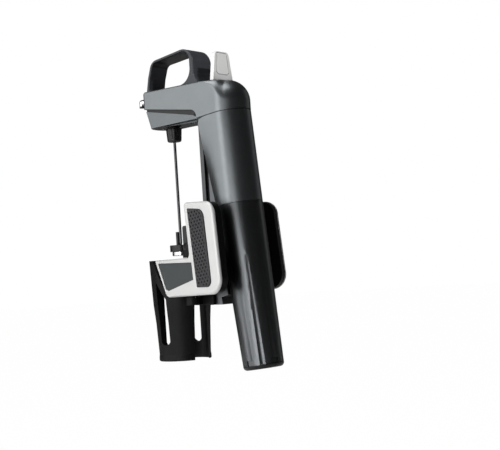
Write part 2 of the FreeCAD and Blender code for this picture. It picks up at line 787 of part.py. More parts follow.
def handle_rim(edge):
    """The two outlines of the band, on its flat sides and clear of its feet."""
    box_ = edge.BoundBox
    if box_.ZMax < value(HEAD_TOP) + 0.01 or box_.XMin * box_.XMax < 0:
        return False
    return all(abs(abs(end.X) - value(handle_half(str(end.Y)))) < 1e-3 for end in edge.Vertexes)


handle_bent = rounded("handle_bent", cut("handle_cut", handle_block, loop_gap),
                      {name: (radius, radius) for name, radius in LOOP_RADII.items()}, loop_corner)
handle_tapered = common("handle_tapered", handle_bent, handle_plan)
node("handle_loop", rounded("handle_loop", handle_tapered, "size.handle_rim", handle_rim))

# Trigger: a tapered plate on a cross pin, drawn about the pin

BLADE_TOP = "size.trigger_height"
trigger_face = [
    ("-size.trigger_base_half", "0"), ("size.trigger_base_half", "0"),
    ("size.trigger_base_half", f"{HEAD_TOP} - {TRIGGER_Z}"),
    ("size.trigger_top_half", f"{BLADE_TOP} - size.blade_corner"),
    ("size.trigger_top_half - size.blade_corner_width", BLADE_TOP),
    ("size.blade_corner_width - size.trigger_top_half", BLADE_TOP),
    ("-size.trigger_top_half", f"{BLADE_TOP} - size.blade_corner"),
    ("-size.trigger_base_half", f"{HEAD_TOP} - {TRIGGER_Z}"),
]
inset_base = f"({BLADE_TOP} - size.inset_reach)"
inset_top = f"({BLADE_TOP} - size.inset_margin)"


def inset_face(gap):
    """The rounded panel on the back of the trigger, made smaller by a gap."""
    low = f"(size.inset_base_half - {gap})"
    high = f"(size.inset_top_half - {gap})"
    corner = "size.inset_corner"
    return [
        (f"{corner} - {low}", f"{inset_base} + {gap}"), (f"{low} - {corner}", f"{inset_base} + {gap}"),
        (low, f"{inset_base} + {gap} + {corner}"), (high, f"{inset_top} - {gap}"),
        (f"-{high}", f"{inset_top} - {gap}"), (f"-{low}", f"{inset_base} + {gap} + {corner}")]


BLADE_REAR = "(size.trigger_thickness - size.blade_front)"
blade = prism("blade", "XZ_Plane", trigger_face, "size.trigger_thickness", offset="-" + BLADE_REAR)
blade_recess = prism("blade_recess", "XZ_Plane", inset_face("0"), "size.inset_depth + 1",
                     offset=f"-{BLADE_REAR} - 1")
hub = cylinder("trigger_hub", "size.trigger_hub_radius", "2 * size.trigger_base_half",
               ("-size.trigger_base_half", "0", "0"), "x")
hub_bore = cylinder("trigger_bore", "size.trigger_pin_radius + size.pivot_gap",
                    "2 * size.trigger_base_half + 2", ("-size.trigger_base_half - 1", "0", "0"), "x")
TRIGGER_SPOT = ("0", "size.trigger_y", TRIGGER_Z)
trigger = cut("trigger", fuse("trigger_full", blade, hub), blade_recess, hub_bore)
node("trigger", place(trigger, TRIGGER_SPOT))
trigger_inset = prism("trigger_inset", "XZ_Plane", inset_face("size.seat_gap * 2"),
                      "size.inset_depth", offset="-" + BLADE_REAR)
node("trigger_inset", place(trigger_inset, TRIGGER_SPOT))
pin_half = f"({pin_reach} - size.seat_gap)"
node("trigger_pin", cylinder("trigger_pin", "size.trigger_pin_radius", f"2 * {pin_half}",
                             (f"-{pin_half}", "size.trigger_y", TRIGGER_Z), "x"))
spring_start = "size.trigger_base_half + size.slide_gap"
node("trigger_spring", ring("trigger_spring", "size.trigger_pin_radius + size.trigger_spring_wire",
                            "size.trigger_pin_radius + size.slide_gap",
                            f"size.cheek - size.wall - size.slide_gap - ({spring_start})",
                            (spring_start, "size.trigger_y", TRIGGER_Z), "x"))

# Valve in the head, its stem pushed by the trigger

valve_rear = "(size.valve_front + size.valve_depth)"
valve_low = f"{WEB_TOP} + 0.1"
valve_upper = box("valve_upper", ("-size.valve_half", "size.valve_front", valve_low),
                  ("size.valve_half", valve_rear, f"{VALVE_Z} + 2"))
valve_lower = box("valve_lower", ("-size.valve_half", "size.valve_front", valve_low),
                  ("size.valve_half", "size.gas_tube_y + size.wall",
                   f"{TRIGGER_Z} - size.trigger_hub_radius - 2 * size.slide_gap"))
stem_front = "(size.valve_front + size.stem_seat)"
stem_bore = cylinder("stem_bore", "size.stem_radius + size.pivot_gap", "size.valve_depth",
                     ("0", "size.valve_front + size.valve_front_wall", VALVE_Z), "y")
port_bore = cylinder("port_bore", "size.line_radius", "4",
                     ("0", "size.gas_tube_y", f"{WEB_TOP} - 1"), "z")
node("valve_body", cut("valve_body", fuse("valve_full", valve_upper, valve_lower), stem_bore, port_bore))
stem_end = "(size.trigger_y - size.blade_front - size.stem_clearance)"
shoulder = f"({stem_end} - size.stem_nose_length)"
stem_rod = cylinder("stem_rod", "size.stem_radius", f"{shoulder} - {stem_front}",
                    ("0", stem_front, VALVE_Z), "y")
stem_head = cylinder("stem_head", "size.stem_radius + size.stem_collar", "size.stem_collar_height",
                     ("0", f"{shoulder} - size.stem_collar_height", VALVE_Z), "y")
stem_nose = cylinder("stem_nose", "size.stem_nose_radius", "size.stem_nose_length + 0.5",
                     ("0", f"{shoulder} - 0.5", VALVE_Z), "y")
node("valve_stem", fuse("valve_stem", stem_rod, stem_head, stem_nose))
valve_spring_run = f"{shoulder} - size.stem_collar_height - size.stem_travel - size.slide_gap"
node("valve_spring", ring("valve_spring", "size.stem_radius + size.valve_spring_wire",
                          "size.stem_radius + size.slide_gap", f"{valve_spring_run} - {valve_rear}",
                          ("0", valve_rear, VALVE_Z), "y"))

# Needle, its screwed hub and the socket in the chin

NEEDLE_TOP = f"({HUB_TOP} + size.hub_stem_height)"
node("needle_tube", ring("needle_tube", "size.needle_radius", "size.needle_bore",
                         f"{NEEDLE_TOP} - 0.4 - size.needle_tip", ("0", "0", "size.needle_tip")))
hub_solid = turned("hub_solid", [
    ("size.needle_radius", HUB_BOTTOM), ("size.hub_foot_radius - 1", HUB_BOTTOM),
    ("size.hub_foot_radius", f"{HUB_BOTTOM} + 1"), ("size.hub_radius", HUB_TOP),
    ("size.hub_stem_radius", HUB_TOP), ("size.hub_stem_radius", NEEDLE_TOP),
    ("size.needle_radius", NEEDLE_TOP)])
HUB_FLUTES = 8
hub_grips = []
for index in range(HUB_FLUTES):
    turn = index * 360 / HUB_FLUTES
    reach = "(size.hub_radius + size.hub_flute_out)"
    flute = cylinder(f"hub_flute_{index}", "size.hub_flute_radius", f"{HUB_TOP} - {HUB_BOTTOM} - 2",
                     (f"{reach} * cos({turn})", f"{reach} * sin({turn})", f"{HUB_BOTTOM} - 1"))
    hub_grips.append(flute)
node("needle_hub", cut("needle_hub", hub_solid, *hub_grips))
seal = doc.addObject("Part::Torus", "needle_seal")
seal.setExpression("Radius1", "size.hub_stem_radius + size.seal_seat")
seal.setExpression("Radius2", "size.seal_section")
node("needle_seal", place(seal, ("0", "0", f"{HUB_TOP} + size.seal_height")))
socket_solid = turned("socket_solid", [
    ("size.hub_stem_radius + size.pivot_gap", f"{HUB_TOP} + size.seal_seat"),
    ("size.socket_radius", f"{HUB_TOP} + size.seal_seat"), ("size.socket_radius", SOCKET_TOP),
    ("1", SOCKET_TOP), ("1", NEEDLE_TOP + " + size.slide_gap"),
    ("size.hub_stem_radius + size.pivot_gap", NEEDLE_TOP + " + size.slide_gap")])
wine_port = cylinder("wine_port", "size.line_radius", "size.socket_radius",
                     ("0", "-size.socket_radius - 0.5", SPOUT_Z), "y")
gas_port = cylinder("gas_port", "size.line_radius", "size.socket_radius",
                    ("0", "0.5", f"{VALVE_Z} - 5"), "y")
node("needle_socket", cut("needle_socket", socket_solid, wine_port, gas_port))
node("gas_line", cylinder("gas_line", "size.line_radius", "size.valve_front - size.socket_radius + 2",
                          ("0", "size.socket_radius - 2", f"{VALVE_Z} - 5"), "y"))
node("gas_tube", cylinder("gas_tube", "size.line_radius",
                          f"{WEB_TOP} - size.seam_z - size.regulator_height + 1",
                          ("0", "size.gas_tube_y", "size.seam_z + size.regulator_height + 0.4")))

# Spout: steel tube through the nose, turned down into a soft mouth

spout_in = "(size.nose_y + 0.5)"
spout_run = f"(size.spout_reach + {spout_in})"
spout_line = ("0", "-size.spout_reach", SPOUT_Z)
spout_tube = cylinder("spout_run", "size.spout_radius", spout_run, spout_line, "y")
elbow = doc.addObject("Part::Sphere", "spout_elbow")
elbow.setExpression("Radius", "size.spout_radius")
place(elbow, spout_line)
SPOUT_END = f"{SPOUT_Z} - size.spout_radius"
spout_leg = cylinder("spout_leg", "size.spout_radius - size.spout_step",
                     "size.spout_radius + size.spout_step",
                     ("0", "-size.spout_reach", SPOUT_END + " - size.spout_step"))
spout_bore = cylinder("spout_bore", "size.spout_bore", spout_run, spout_line, "y")
leg_bore = cylinder("leg_bore", "size.spout_bore", "size.spout_radius + 2",
                    ("0", "-size.spout_reach", SPOUT_END + " - 2"))
node("spout_tube", cut("spout_tube", fuse("spout_full", spout_tube, elbow, spout_leg),
                       spout_bore, leg_bore))
MOUTH_LOW = f"{SPOUT_END} - size.spout_step - size.mouth_height"
node("spout_mouth", ring("spout_mouth", "size.spout_radius", "size.spout_bore", "size.mouth_height",
                         ("0", "-size.spout_reach", MOUTH_LOW)))
wine_run = f"-size.socket_radius - ({spout_in}) + 4"
node("wine_tube", cylinder("wine_tube", "size.line_radius - size.press_gap", wine_run,
                           ("0", f"{spout_in} - 2", SPOUT_Z), "y"))

# Upper body: lofted from the head's outline down to the round seam


def body_section(inset):
    """Square-fronted outline of the body under the head, about the tube's axis."""
    half = f"(size.cheek - {inset})"
    front = f"((size.body_front - {SEAM_MIDDLE}) / cos(size.tilt) + {inset})"
    centre = f"((size.crown_y - {SEAM_MIDDLE}) / cos(size.tilt))"
    return [(half, front), (half, centre, ("0", f"{centre} + {half}")),
            (f"-{half}", centre), (f"-{half}", front)]


def round_section(radius, corner="52"):
    """The round seam, split at the same four places."""
    across = f"{radius} * cos({corner})"
    front = f"-{radius} * sin({corner})"
    side = f"{radius} * cos({corner} / 2)"
    low = f"-{radius} * sin({corner} / 2)"
    return [(across, front, (side, low)), (radius, "0", ("0", radius)),
            (f"-{radius}", "0", (f"-{side}", low)), (f"-{across}", front, ("0", f"-{radius}"))]


def body_loft(body, kind, inset, extra):
    lower = sketch_on(body, "XY_Plane", f"body_{kind}_low", f"-{extra}")
    outline(lower, round_section(f"(size.tube_radius - {inset})"))
    upper = sketch_on(body, "XY_Plane", f"body_{kind}_high", f"size.body_height + {extra}")
    outline(upper, body_section(inset))
    loft = body.newObject(f"PartDesign::{kind}", f"body_{kind}")
    loft.Profile = lower
    loft.Sections = [upper]
    loft.Ruled = True


body_skin = new_body("body_skin")
body_loft(body_skin, "AdditiveLoft", "0", "0")
doc.recompute()
body_loft(body_skin, "SubtractiveLoft", "size.wall", "0.01")
groove_low = "size.body_height - size.seam_groove"
groove_slab = prism("groove_slab", "XY_Plane", body_section("-1"), "size.seam_groove", offset=groove_low)
groove_core = prism("groove_core", "XY_Plane", body_section("size.seam_groove"), "size.seam_groove + 2",
                    offset=f"{groove_low} - 1")
body_shell = cut("body_shell", group("body_loose", body_skin), cut("seam_cut", groove_slab, groove_core))
node("body_shell", body_shell, tilted=True)

# Regulator inside the body, with the spigot that the cup screws on

SHELL_BORE = "(size.tube_radius - size.wall)"
REGULATOR_RADIUS = "(size.cheek - size.wall - size.slide_gap)"
regulator = turned("regulator_body", [
    ("size.pin_radius", "-size.spigot_height"), (f"{SHELL_BORE} - size.slide_gap", "-size.spigot_height"),
    (f"{SHELL_BORE} - size.slide_gap", "-2"), (f"{SHELL_BORE} - 1", "-1"),
    (REGULATOR_RADIUS, "0"), (REGULATOR_RADIUS, "size.regulator_height"),
    ("size.regulator_chamber", "size.regulator_height"),
    ("size.regulator_chamber", "size.regulator_floor"), ("size.pin_radius", "size.regulator_floor")])
node("regulator_body", regulator, tilted=True)
PISTON_TOP = "(size.regulator_floor + 1 + size.piston_height)"
node("regulator_piston", turned("regulator_piston", [
    ("0", "size.regulator_floor + 1"),
    ("size.regulator_chamber - 2 * size.press_gap", "size.regulator_floor + 1"),
    ("size.regulator_chamber - 2 * size.press_gap", PISTON_TOP),
    ("size.piston_stem_radius", PISTON_TOP), ("size.piston_stem_radius", PISTON_TOP + " + 4"),
    ("0", PISTON_TOP + " + 4")]), tilted=True)
regulator_spring = ring("regulator_spring", "size.regulator_chamber - size.regulator_spring_gap",
                        "size.regulator_chamber - size.regulator_spring_inner",
                        f"size.regulator_height - size.regulator_cap_height - {PISTON_TOP} - 0.4",
                        ("0", "0", PISTON_TOP + " + 0.2"))
node("regulator_spring", regulator_spring, tilted=True)
CAP_LOW = "(size.regulator_height - size.regulator_cap_height)"
node("regulator_cap", turned("regulator_cap", [
    ("0", CAP_LOW), ("size.regulator_chamber - size.press_gap", CAP_LOW),
    ("size.regulator_chamber - size.press_gap", "size.regulator_height"),
    ("4", "size.regulator_height"), ("3", "size.regulator_height + 3"),
    ("0", "size.regulator_height + 3")]), tilted=True)
CAPSULE_TOP = "(-size.capsule_drop)"
PIN_FOOT = "(-size.spigot_height)"
node("piercing_pin", turned("piercing_pin", [
    ("0", f"{CAPSULE_TOP} + 0.3"), ("size.pin_radius - size.press_gap", f"{PIN_FOOT} - size.piercing_tip"),
    ("size.pin_radius - size.press_gap", "size.regulator_floor - 1"), ("0", "size.regulator_floor - 1")]),
    tilted=True)
node("capsule_seal", ring("capsule_seal", "size.capsule_neck_radius - size.seal_inset",
                          "size.pin_radius + size.seal_inset",
                          "size.capsule_drop - size.spigot_height - 0.2",
                          ("0", "0", f"{CAPSULE_TOP} + 0.1")), tilted=True)

# Gas capsule and the cup that carries it

NECK_LOW = "(-size.capsule_drop - size.capsule_neck_height)"
SHOULDER_LOW = f"({NECK_LOW} - size.capsule_shoulder)"
CAPSULE_LOW = "(-size.capsule_drop - size.capsule_height)"
DOME = "(size.capsule_radius * size.capsule_dome_share)"
SKIN = "size.capsule_wall"
node("gas_capsule", turned("gas_capsule", [
    ("0", CAPSULE_LOW), ("size.capsule_radius * size.capsule_foot_share", CAPSULE_LOW),
    ("size.capsule_radius", f"{CAPSULE_LOW} + {DOME}"), ("size.capsule_radius", SHOULDER_LOW),
    ("size.capsule_neck_radius", NECK_LOW), ("size.capsule_neck_radius", CAPSULE_TOP),
    ("size.pin_radius + size.capsule_pierce_gap", CAPSULE_TOP),
    ("size.pin_radius + size.capsule_pierce_gap", f"{NECK_LOW} - 1"),
    (f"size.capsule_radius - {SKIN}", f"{SHOULDER_LOW} - size.capsule_inner_step"),
    (f"size.capsule_radius - {SKIN}", f"{CAPSULE_LOW} + {DOME} + size.capsule_inner_step"),
    ("size.capsule_radius * 0.4", f"{CAPSULE_LOW} + {SKIN}"), ("0", f"{CAPSULE_LOW} + {SKIN}")]),
    tilted=True)
CUP_LOW = f"(-{CUP_HEIGHT})"
cup_solid = turned("cup_solid", [
    ("0", CUP_LOW), ("size.cup_foot_radius", CUP_LOW), ("size.tube_radius", "-size.slide_gap"),
    (SHELL_BORE, "-size.slide_gap"), (SHELL_BORE, "-size.spigot_height - 1.5"),
    ("size.cup_foot_radius - size.wall", f"{CUP_LOW} + 2"), ("0", f"{CUP_LOW} + 2")])


def foot_block(kind, index, angle, width, tall):
    """A block across the cup's wall at its foot, turned to its place round the cup."""
    block = box(f"cup_{kind}_{index}", ("size.cup_foot_radius - size.wall / 2", f"-({width}) / 2", CUP_LOW),
                ("size.cup_foot_radius + size.wall", f"({width}) / 2", f"{CUP_LOW} + {tall}"))
    return place(group(f"cup_{kind}_spin_{index}", block), ORIGIN, (0, 0, 1), str(angle))


FLUTE_COUNT = 10
flutes = []
notches = []
teeth = []
flute_centre = "(size.cup_foot_radius + size.flute_radius - size.flute_depth)"
for index in range(FLUTE_COUNT):
    angle = index * 360 / FLUTE_COUNT
    across = (-math.sin(math.radians(angle)), math.cos(math.radians(angle)), 0)
    flute = doc.addObject("Part::Cylinder", f"cup_flute_{index}")
    flute.setExpression("Radius", "size.flute_radius")
    flute.setExpression("Height", "size.flute_reach")
    spot = (f"{flute_centre} * cos({angle})", f"{flute_centre} * sin({angle})", CUP_LOW)
    flutes.append(place(flute, spot, across, "size.flute_lean"))
    if index % 2 == 0:
        notches.append(foot_block("notch", index, angle, "size.notch_width", "size.notch_height"))
        teeth.append(foot_block("tooth", index, angle, "size.notch_width - 2 * size.seat_gap",
                                "size.notch_height - size.seat_gap"))
node("capsule_cup", cut("capsule_cup", cup_solid, *flutes, *notches), tilted=True)
BASE_LOW = f"({CUP_LOW} - size.cup_foot_round)"
FOOT_BEND = "(size.cup_foot_round * (1 - cos(45)))"
base_disc = turned("base_disc", [
    ("0", BASE_LOW), ("size.cup_foot_radius - size.cup_foot_round", BASE_LOW,
                      (f"size.cup_foot_radius - {FOOT_BEND}", f"{BASE_LOW} + {FOOT_BEND}")),
    ("size.cup_foot_radius", CUP_LOW), ("0", CUP_LOW)])
tooth_limit = cylinder("tooth_limit", "size.cup_foot_radius - size.wall / 2", "2 * size.notch_height",
                       ("0", "0", f"{CUP_LOW} - 1"))
base_teeth = common("base_teeth", fuse("teeth_all", *teeth), tooth_limit)
node("cup_base", fuse("cup_base", base_disc, base_teeth), tilted=True)
CUSHION_TOP = f"({CAPSULE_LOW} - 0.3)"
CUSHION_RADIUS = "size.cup_foot_radius - size.wall - 1"
node("cup_cushion", turned("cup_cushion", [
    ("0", f"{CUP_LOW} + size.cushion_recess"), (CUSHION_RADIUS, f"{CUP_LOW} + size.cushion_recess"),
    (CUSHION_RADIUS, CUSHION_TOP), ("0", CUSHION_TOP)]), tilted=True)

# Rail, and the spine that ties it to the body

RAIL_REAR = "(size.rail_y + size.rail_flange)"
RAIL_HEIGHT = f"{CHIN_BOTTOM} - {RAIL_BOTTOM}"
rail_bar = prism("rail_bar", "XY_Plane", [
    ("-size.rail_half", "size.rail_y"), ("size.rail_half", "size.rail_y"),
    ("size.rail_half", RAIL_REAR), ("size.rail_web", RAIL_REAR), ("size.rail_web", "size.spine_y"),
    ("-size.rail_web", "size.spine_y"), ("-size.rail_web", RAIL_REAR), ("-size.rail_half", RAIL_REAR)],
    RAIL_HEIGHT, offset=RAIL_BOTTOM)
RAIL_SCREWS = [f"{RAIL_BOTTOM} + size.rail_screw_low", f"{RAIL_BOTTOM} + size.rail_screw_middle",
               f"{CHIN_BOTTOM} - size.rail_screw_high"]
rail_holes = []
rail_screws = []
for index, level in enumerate(RAIL_SCREWS):
    rail_holes.append(cylinder(f"rail_hole_{index}", "size.screw_radius + size.seat_gap",
                               "size.spine_y - size.rail_y + 2", ("0", "size.rail_y - 1", level), "y"))
    rail_holes.append(cylinder(f"rail_sink_{index}", "size.rail_screw_head + size.seat_gap",
                               "size.screw_sink + 1", ("0", "size.rail_y - 1", level), "y"))
    head = cylinder(f"rail_head_{index}", "size.rail_screw_head", "size.screw_head_height",
                    ("0", "size.rail_y + size.slide_gap", level), "y")
    shank_start = "size.rail_y + size.slide_gap + size.screw_head_height - size.seat_gap"
    shank = cylinder(f"rail_shank_{index}", "size.screw_radius", "size.rail_screw_length",
                     ("0", shank_start, level), "y")
    rail_screws.append(fuse(f"rail_screw_{index}", head, shank))
node("rail_track", cut("rail_track", rail_bar, *rail_holes))
node("rail_screws", group("rail_screws", *rail_screws))


def spine_rear(z):
    """Back of the spine: parallel to the tube, clear of the cup as it is drawn off."""
    reach = "(size.tube_radius + size.spine_gap) / cos(size.tilt)"
    return f"size.seam_y + (size.seam_z - ({z})) * tan(size.tilt) - {reach}"


BODY_FRONT_LOW = "(size.seam_y - size.tube_radius * cos(size.tilt))"
BODY_FRONT_Z = "(size.seam_z - size.tube_radius * sin(size.tilt))"
BODY_FRONT_HIGH = "(" + seam_at("size.body_front") + ")"


def body_front_at(z):
    """Front of the upper body at a height, less a hair."""
    share = f"(({z}) - {BODY_FRONT_Z}) / ({BODY_FRONT_HIGH} - {BODY_FRONT_Z})"
    return f"{BODY_FRONT_LOW} + ({share}) * (size.body_front - {BODY_FRONT_LOW}) - 0.02"


WEDGE_TOP = f"({CHIN_BOTTOM} - 6)"
bracket_turn = f"({BODY_FRONT_Z} + 0.8)"
node("spine_bracket", prism("spine_bracket", "YZ_Plane", [
    ("size.spine_y", "size.spine_split"), (spine_rear("size.spine_split"), "size.spine_split"),
    (spine_rear(bracket_turn), bracket_turn),
    (body_front_at(bracket_turn + " + 0.6"), bracket_turn + " + 0.6"),
    (body_front_at(WEDGE_TOP), WEDGE_TOP), ("size.spine_y", WEDGE_TOP)],
    "2 * size.spine_half", symmetric=True))
spine_lower = prism("spine_block", "YZ_Plane", [
    ("size.spine_y", RAIL_BOTTOM), (spine_rear(RAIL_BOTTOM) + " - size.spine_trim", RAIL_BOTTOM),
    (spine_rear(f"{RAIL_BOTTOM} + 5") + " - size.spine_trim", f"{RAIL_BOTTOM} + 5"),
    (spine_rear(f"{RAIL_BOTTOM} + 6.5"), f"{RAIL_BOTTOM} + 6.5"),
    (spine_rear("size.spine_split"), "size.spine_split"), ("size.spine_y", "size.spine_split")],
    "2 * size.spine_half", symmetric=True)
SPINE_SCREWS = ["size.spine_split - size.spine_screw_high", "size.spine_split - size.spine_screw_low"]
spine_holes = [cylinder(f"spine_hole_{index}", "size.spine_screw + size.seat_gap", "3",
                        ("size.spine_half - 2", "size.spine_y + 4", level), "x")
               for index, level in enumerate(SPINE_SCREWS)]
node("spine_lower", cut("spine_lower", spine_lower, *spine_holes))
node("spine_screws", group("spine_screws", *[
    cylinder(f"spine_screw_{index}", "size.spine_screw", "size.spine_screw_height",
             ("size.spine_half - 2", "size.spine_y + 4", level), "x")
    for index, level in enumerate(SPINE_SCREWS)]))
STOP_TOP = f"({RAIL_BOTTOM} + size.stop_height)"
node("rail_stop", box("rail_stop", ("-size.stop_half", "size.rail_y - size.stop_depth", RAIL_BOTTOM),
                      ("size.stop_half", "size.rail_y", STOP_TOP)))

# Carriage: slides on the rail and carries the jaws and the needle guide

CARRIAGE_REAR = "(size.spine_y - size.slide_gap)"
FLANGE_SIDE = "(size.rail_half + size.slide_gap)"
LIP_FRONT = f"({RAIL_REAR} + size.slide_gap)"
WEB_SIDE = "(size.rail_web + size.slide_gap)"
CARRIAGE_BACK = "(size.rail_y - size.slide_gap)"
carriage_bar = prism("carriage_bar", "XY_Plane", [
    ("-size.carriage_half", "size.carriage_front"), ("size.carriage_half", "size.carriage_front"),
    ("size.carriage_half", CARRIAGE_REAR), (WEB_SIDE, CARRIAGE_REAR), (WEB_SIDE, LIP_FRONT),
    (FLANGE_SIDE, LIP_FRONT), (FLANGE_SIDE, CARRIAGE_BACK), (f"-{FLANGE_SIDE}", CARRIAGE_BACK),
    (f"-{FLANGE_SIDE}", LIP_FRONT), (f"-{WEB_SIDE}", LIP_FRONT), (f"-{WEB_SIDE}", CARRIAGE_REAR),
    ("-size.carriage_half", CARRIAGE_REAR)],
    "size.carriage_top - size.carriage_bottom", offset="size.carriage_bottom")
UPPER_LUG = "(size.boss_top + size.slide_gap)"
LOWER_LUG = "(size.boss_bottom - size.slide_gap - size.lug_height)"
lugs = []
pivot_holes = []
for side, sign in (("left", ""), ("right", "-")):
    spot = f"{sign}size.pivot_x"
    near, far = ("size.carriage_half - 1", spot) if sign == "" else (spot, "1 - size.carriage_half")
    for level_name, level in (("upper", UPPER_LUG), ("lower", LOWER_LUG)):
        lugs.append(cylinder(f"{side}_{level_name}_lug", "size.boss_radius", "size.lug_height",
                             (spot, "size.pivot_y", level)))
        lugs.append(box(f"{side}_{level_name}_arm", (near, "size.pivot_y - size.lug_arm_half", level),
                        (far, "size.pivot_y + size.lug_arm_half", f"{level} + size.lug_height")))
    pivot_holes.append(cylinder(f"{side}_pivot_hole", "size.pivot_radius + size.pivot_play",
                                f"{UPPER_LUG} - {LOWER_LUG} + 2 * size.lug_height",
                                (spot, "size.pivot_y", f"{LOWER_LUG} - 1")))
pad_pockets = []
glide_pads = []
for index, start in enumerate(("-size.rail_half + size.pad_edge", "size.pad_inner")):
    low = (start, f"{CARRIAGE_BACK} - size.pad_edge", "size.carriage_bottom + 3")
    high = (f"{start} + size.pad_width", CARRIAGE_BACK, "size.carriage_top - 3")
    pad_pockets.append(box(f"glide_pocket_{index}", low, high))
    glide_pads.append(box(f"glide_pad_{index}", low, high))
stop_pocket = box("stop_pocket",
                  ("-size.stop_half - size.slide_gap", "size.rail_y - size.stop_depth - size.slide_gap",
                   "size.carriage_bottom - 1"),
                  ("size.stop_half + size.slide_gap", "size.rail_y", STOP_TOP + " + size.slide_gap"))
node("carriage", cut("carriage", fuse("carriage_full", carriage_bar, *lugs), stop_pocket,
                     *pivot_holes, *pad_pockets))
node("glide_pads", group("glide_pads", *glide_pads))
GUIDE_TOP = "(size.guide_bottom + size.guide_thickness)"
guide_disc = cylinder("guide_disc", "size.guide_radius", "size.guide_thickness",
                      ("0", "0", "size.guide_bottom"))
guide_arm = box("guide_arm", ("-size.arm_half", "size.guide_radius / 2", "size.guide_bottom"),
                ("size.arm_half", "size.carriage_front", GUIDE_TOP))
PRONG_FOOT = "size.guide_bottom + 1"
front_prong = box("front_prong", ("-size.prong_front_half", "size.prong_front_y", PRONG_FOOT),
                  ("size.prong_front_half", "size.prong_front_y + size.prong_depth",
                   "size.prong_front_top"))
rear_block = box("rear_block", ("-size.prong_rear_half", "size.prong_rear_y", PRONG_FOOT),
                 ("size.prong_rear_half", "size.prong_rear_y + size.prong_rear_depth",
                  "size.prong_rear_top"))


def prong_shoulder(edge):
    level = flat(edge)
    return (level is not None and abs(level - value("size.prong_rear_top")) < 1e-3
            and edge.BoundBox.XLength > value("size.prong_rear_half"))


rear_prong = rounded("rear_prong", rear_block, "size.prong_shoulder", prong_shoulder)
guide_bore = cylinder("guide_bore", "size.needle_radius + size.guide_clearance", "size.prong_rear_top")
guide_full = fuse("guide_full", guide_disc, guide_arm, front_prong, rear_prong)
node("needle_guide", cut("needle_guide", guide_full, guide_bore))
node("guide_bush", ring("guide_bush", "size.bush_radius", "size.needle_radius + size.bush_bore_gap",
                        "size.bush_height",
                        ("0", "0", "size.guide_bottom - size.bush_height")))
SPRING_FOOT = f"({UPPER_LUG} + size.lug_height + 0.1)"
PIN_LOW = f"({LOWER_LUG} + 0.5)"
node("left_pivot_pin", cylinder("left_pivot_pin", "size.pivot_radius", f"{SPRING_FOOT} + 6 - {PIN_LOW}",
                                ("size.pivot_x", "size.pivot_y", PIN_LOW)))
node("left_jaw_spring", ring("left_jaw_spring", "size.pivot_radius + size.jaw_spring_wire",
                             "size.pivot_radius + size.slide_gap", "size.jaw_spring_height",
                             ("size.pivot_x", "size.pivot_y", SPRING_FOOT)))

# Jaws: half sleeves round the bottle neck, each with a flared wing as its finger lever

NOTCH_TOP = "(size.wing_notch - size.notch_lean)"


def wing_outline(gap):
    """Outline of the wing from the side, made smaller all round by a gap."""
    front = f"(size.wing_front + {gap})"
    rear = f"(size.wing_rear - {gap})"
    top = f"(size.wing_top - {gap})"
    low = f"(size.wing_bottom + {gap})"
    ledge = f"(size.wing_ledge - {gap})"
    notch = f"(size.wing_notch + {gap})"
    lean = f"({NOTCH_TOP} + {gap})"
    return [
        (front, ledge),
        (f"{front} + 11.1", f"{low} + 3.4", (f"{front} + 12.8", f"{low} + 0.9")),
        (f"{front} + 16.3", low),
        (f"{rear} - 11", f"{low} + 0.8", (f"{rear} - 2.9", f"{low} + 4.2")),
        (rear, f"{low} + 12"),
        (f"{rear} - 3.2", f"{top} - 11", (f"{rear} - 5.8", f"{top} - 4")),
        (f"{rear} - 12", f"{top} - 1"),
        (f"{lean} + 2.4", top, (f"{lean} + 0.7", f"{top} - 0.7")),
        (lean, f"{top} - 2.4"),
        (f"{notch} + 0.2", f"{ledge} + 3", (f"{notch} - 0.7", f"{ledge} + 0.9")),
        (f"{notch} - 2.8", ledge),
    ]


PAD_OUTLINE = [
    ("size.wing_notch + 2.2", "size.wing_top - 4.4"),
    ("size.wing_notch + 8.4", "size.wing_bottom + 6.2"),
    ("size.wing_rear - 13.6", "size.wing_bottom + 6.2",
     ("size.wing_rear - 10.7", "size.wing_bottom + 7.6")),
    ("size.wing_rear - 9.6", "size.wing_bottom + 11.4"),
    ("size.wing_rear - 13.2", "size.wing_top - 12.6", ("size.wing_rear - 14.9", "size.wing_top - 7.9")),
    ("size.wing_rear - 19", "size.wing_top - 5.8"),
]
INSET_OUTLINE = [
    ("size.wing_front + 4.5", "size.wing_ledge - 2.3"),
    ("size.wing_front + 12.5", "size.wing_bottom + 5.6"),
    ("size.wing_front + 16.3", "size.wing_bottom + 4.6"),
    ("size.wing_notch + 4.4", "size.wing_bottom + 11.4"),
    ("size.wing_notch + 3.4", "size.wing_ledge - 3.3"),
]
JAW_FOOT = "(size.jaw_rise - size.jaw_height)"
SLEEVE_CORE = "(size.bottle_radius - size.jaw_shift - 1)"
SLEEVE = [
    (SLEEVE_CORE, "size.jaw_rise"), ("size.jaw_top_radius", "size.jaw_rise"),
    ("size.jaw_top_radius - 1.2", "size.jaw_rise - size.jaw_height * 0.44"),
    ("size.jaw_foot_radius + 1", "size.jaw_rise - size.jaw_height * 0.63"),
    ("size.jaw_foot_radius", f"{JAW_FOOT} + size.jaw_lip + 1"),
    ("size.jaw_lip_radius", f"{JAW_FOOT} + size.jaw_lip - 1.5"),
    ("size.jaw_lip_radius", f"{JAW_FOOT} + 0.6"), ("size.jaw_lip_radius - 0.6", JAW_FOOT),
    (SLEEVE_CORE, JAW_FOOT)]


def in_wing(item):
    """Places an item drawn with its outer face on the YZ plane onto the flared wing."""
    return place(item, ("size.wing_x", "0", "0"), (0, 0, 1), "-size.wing_flare")


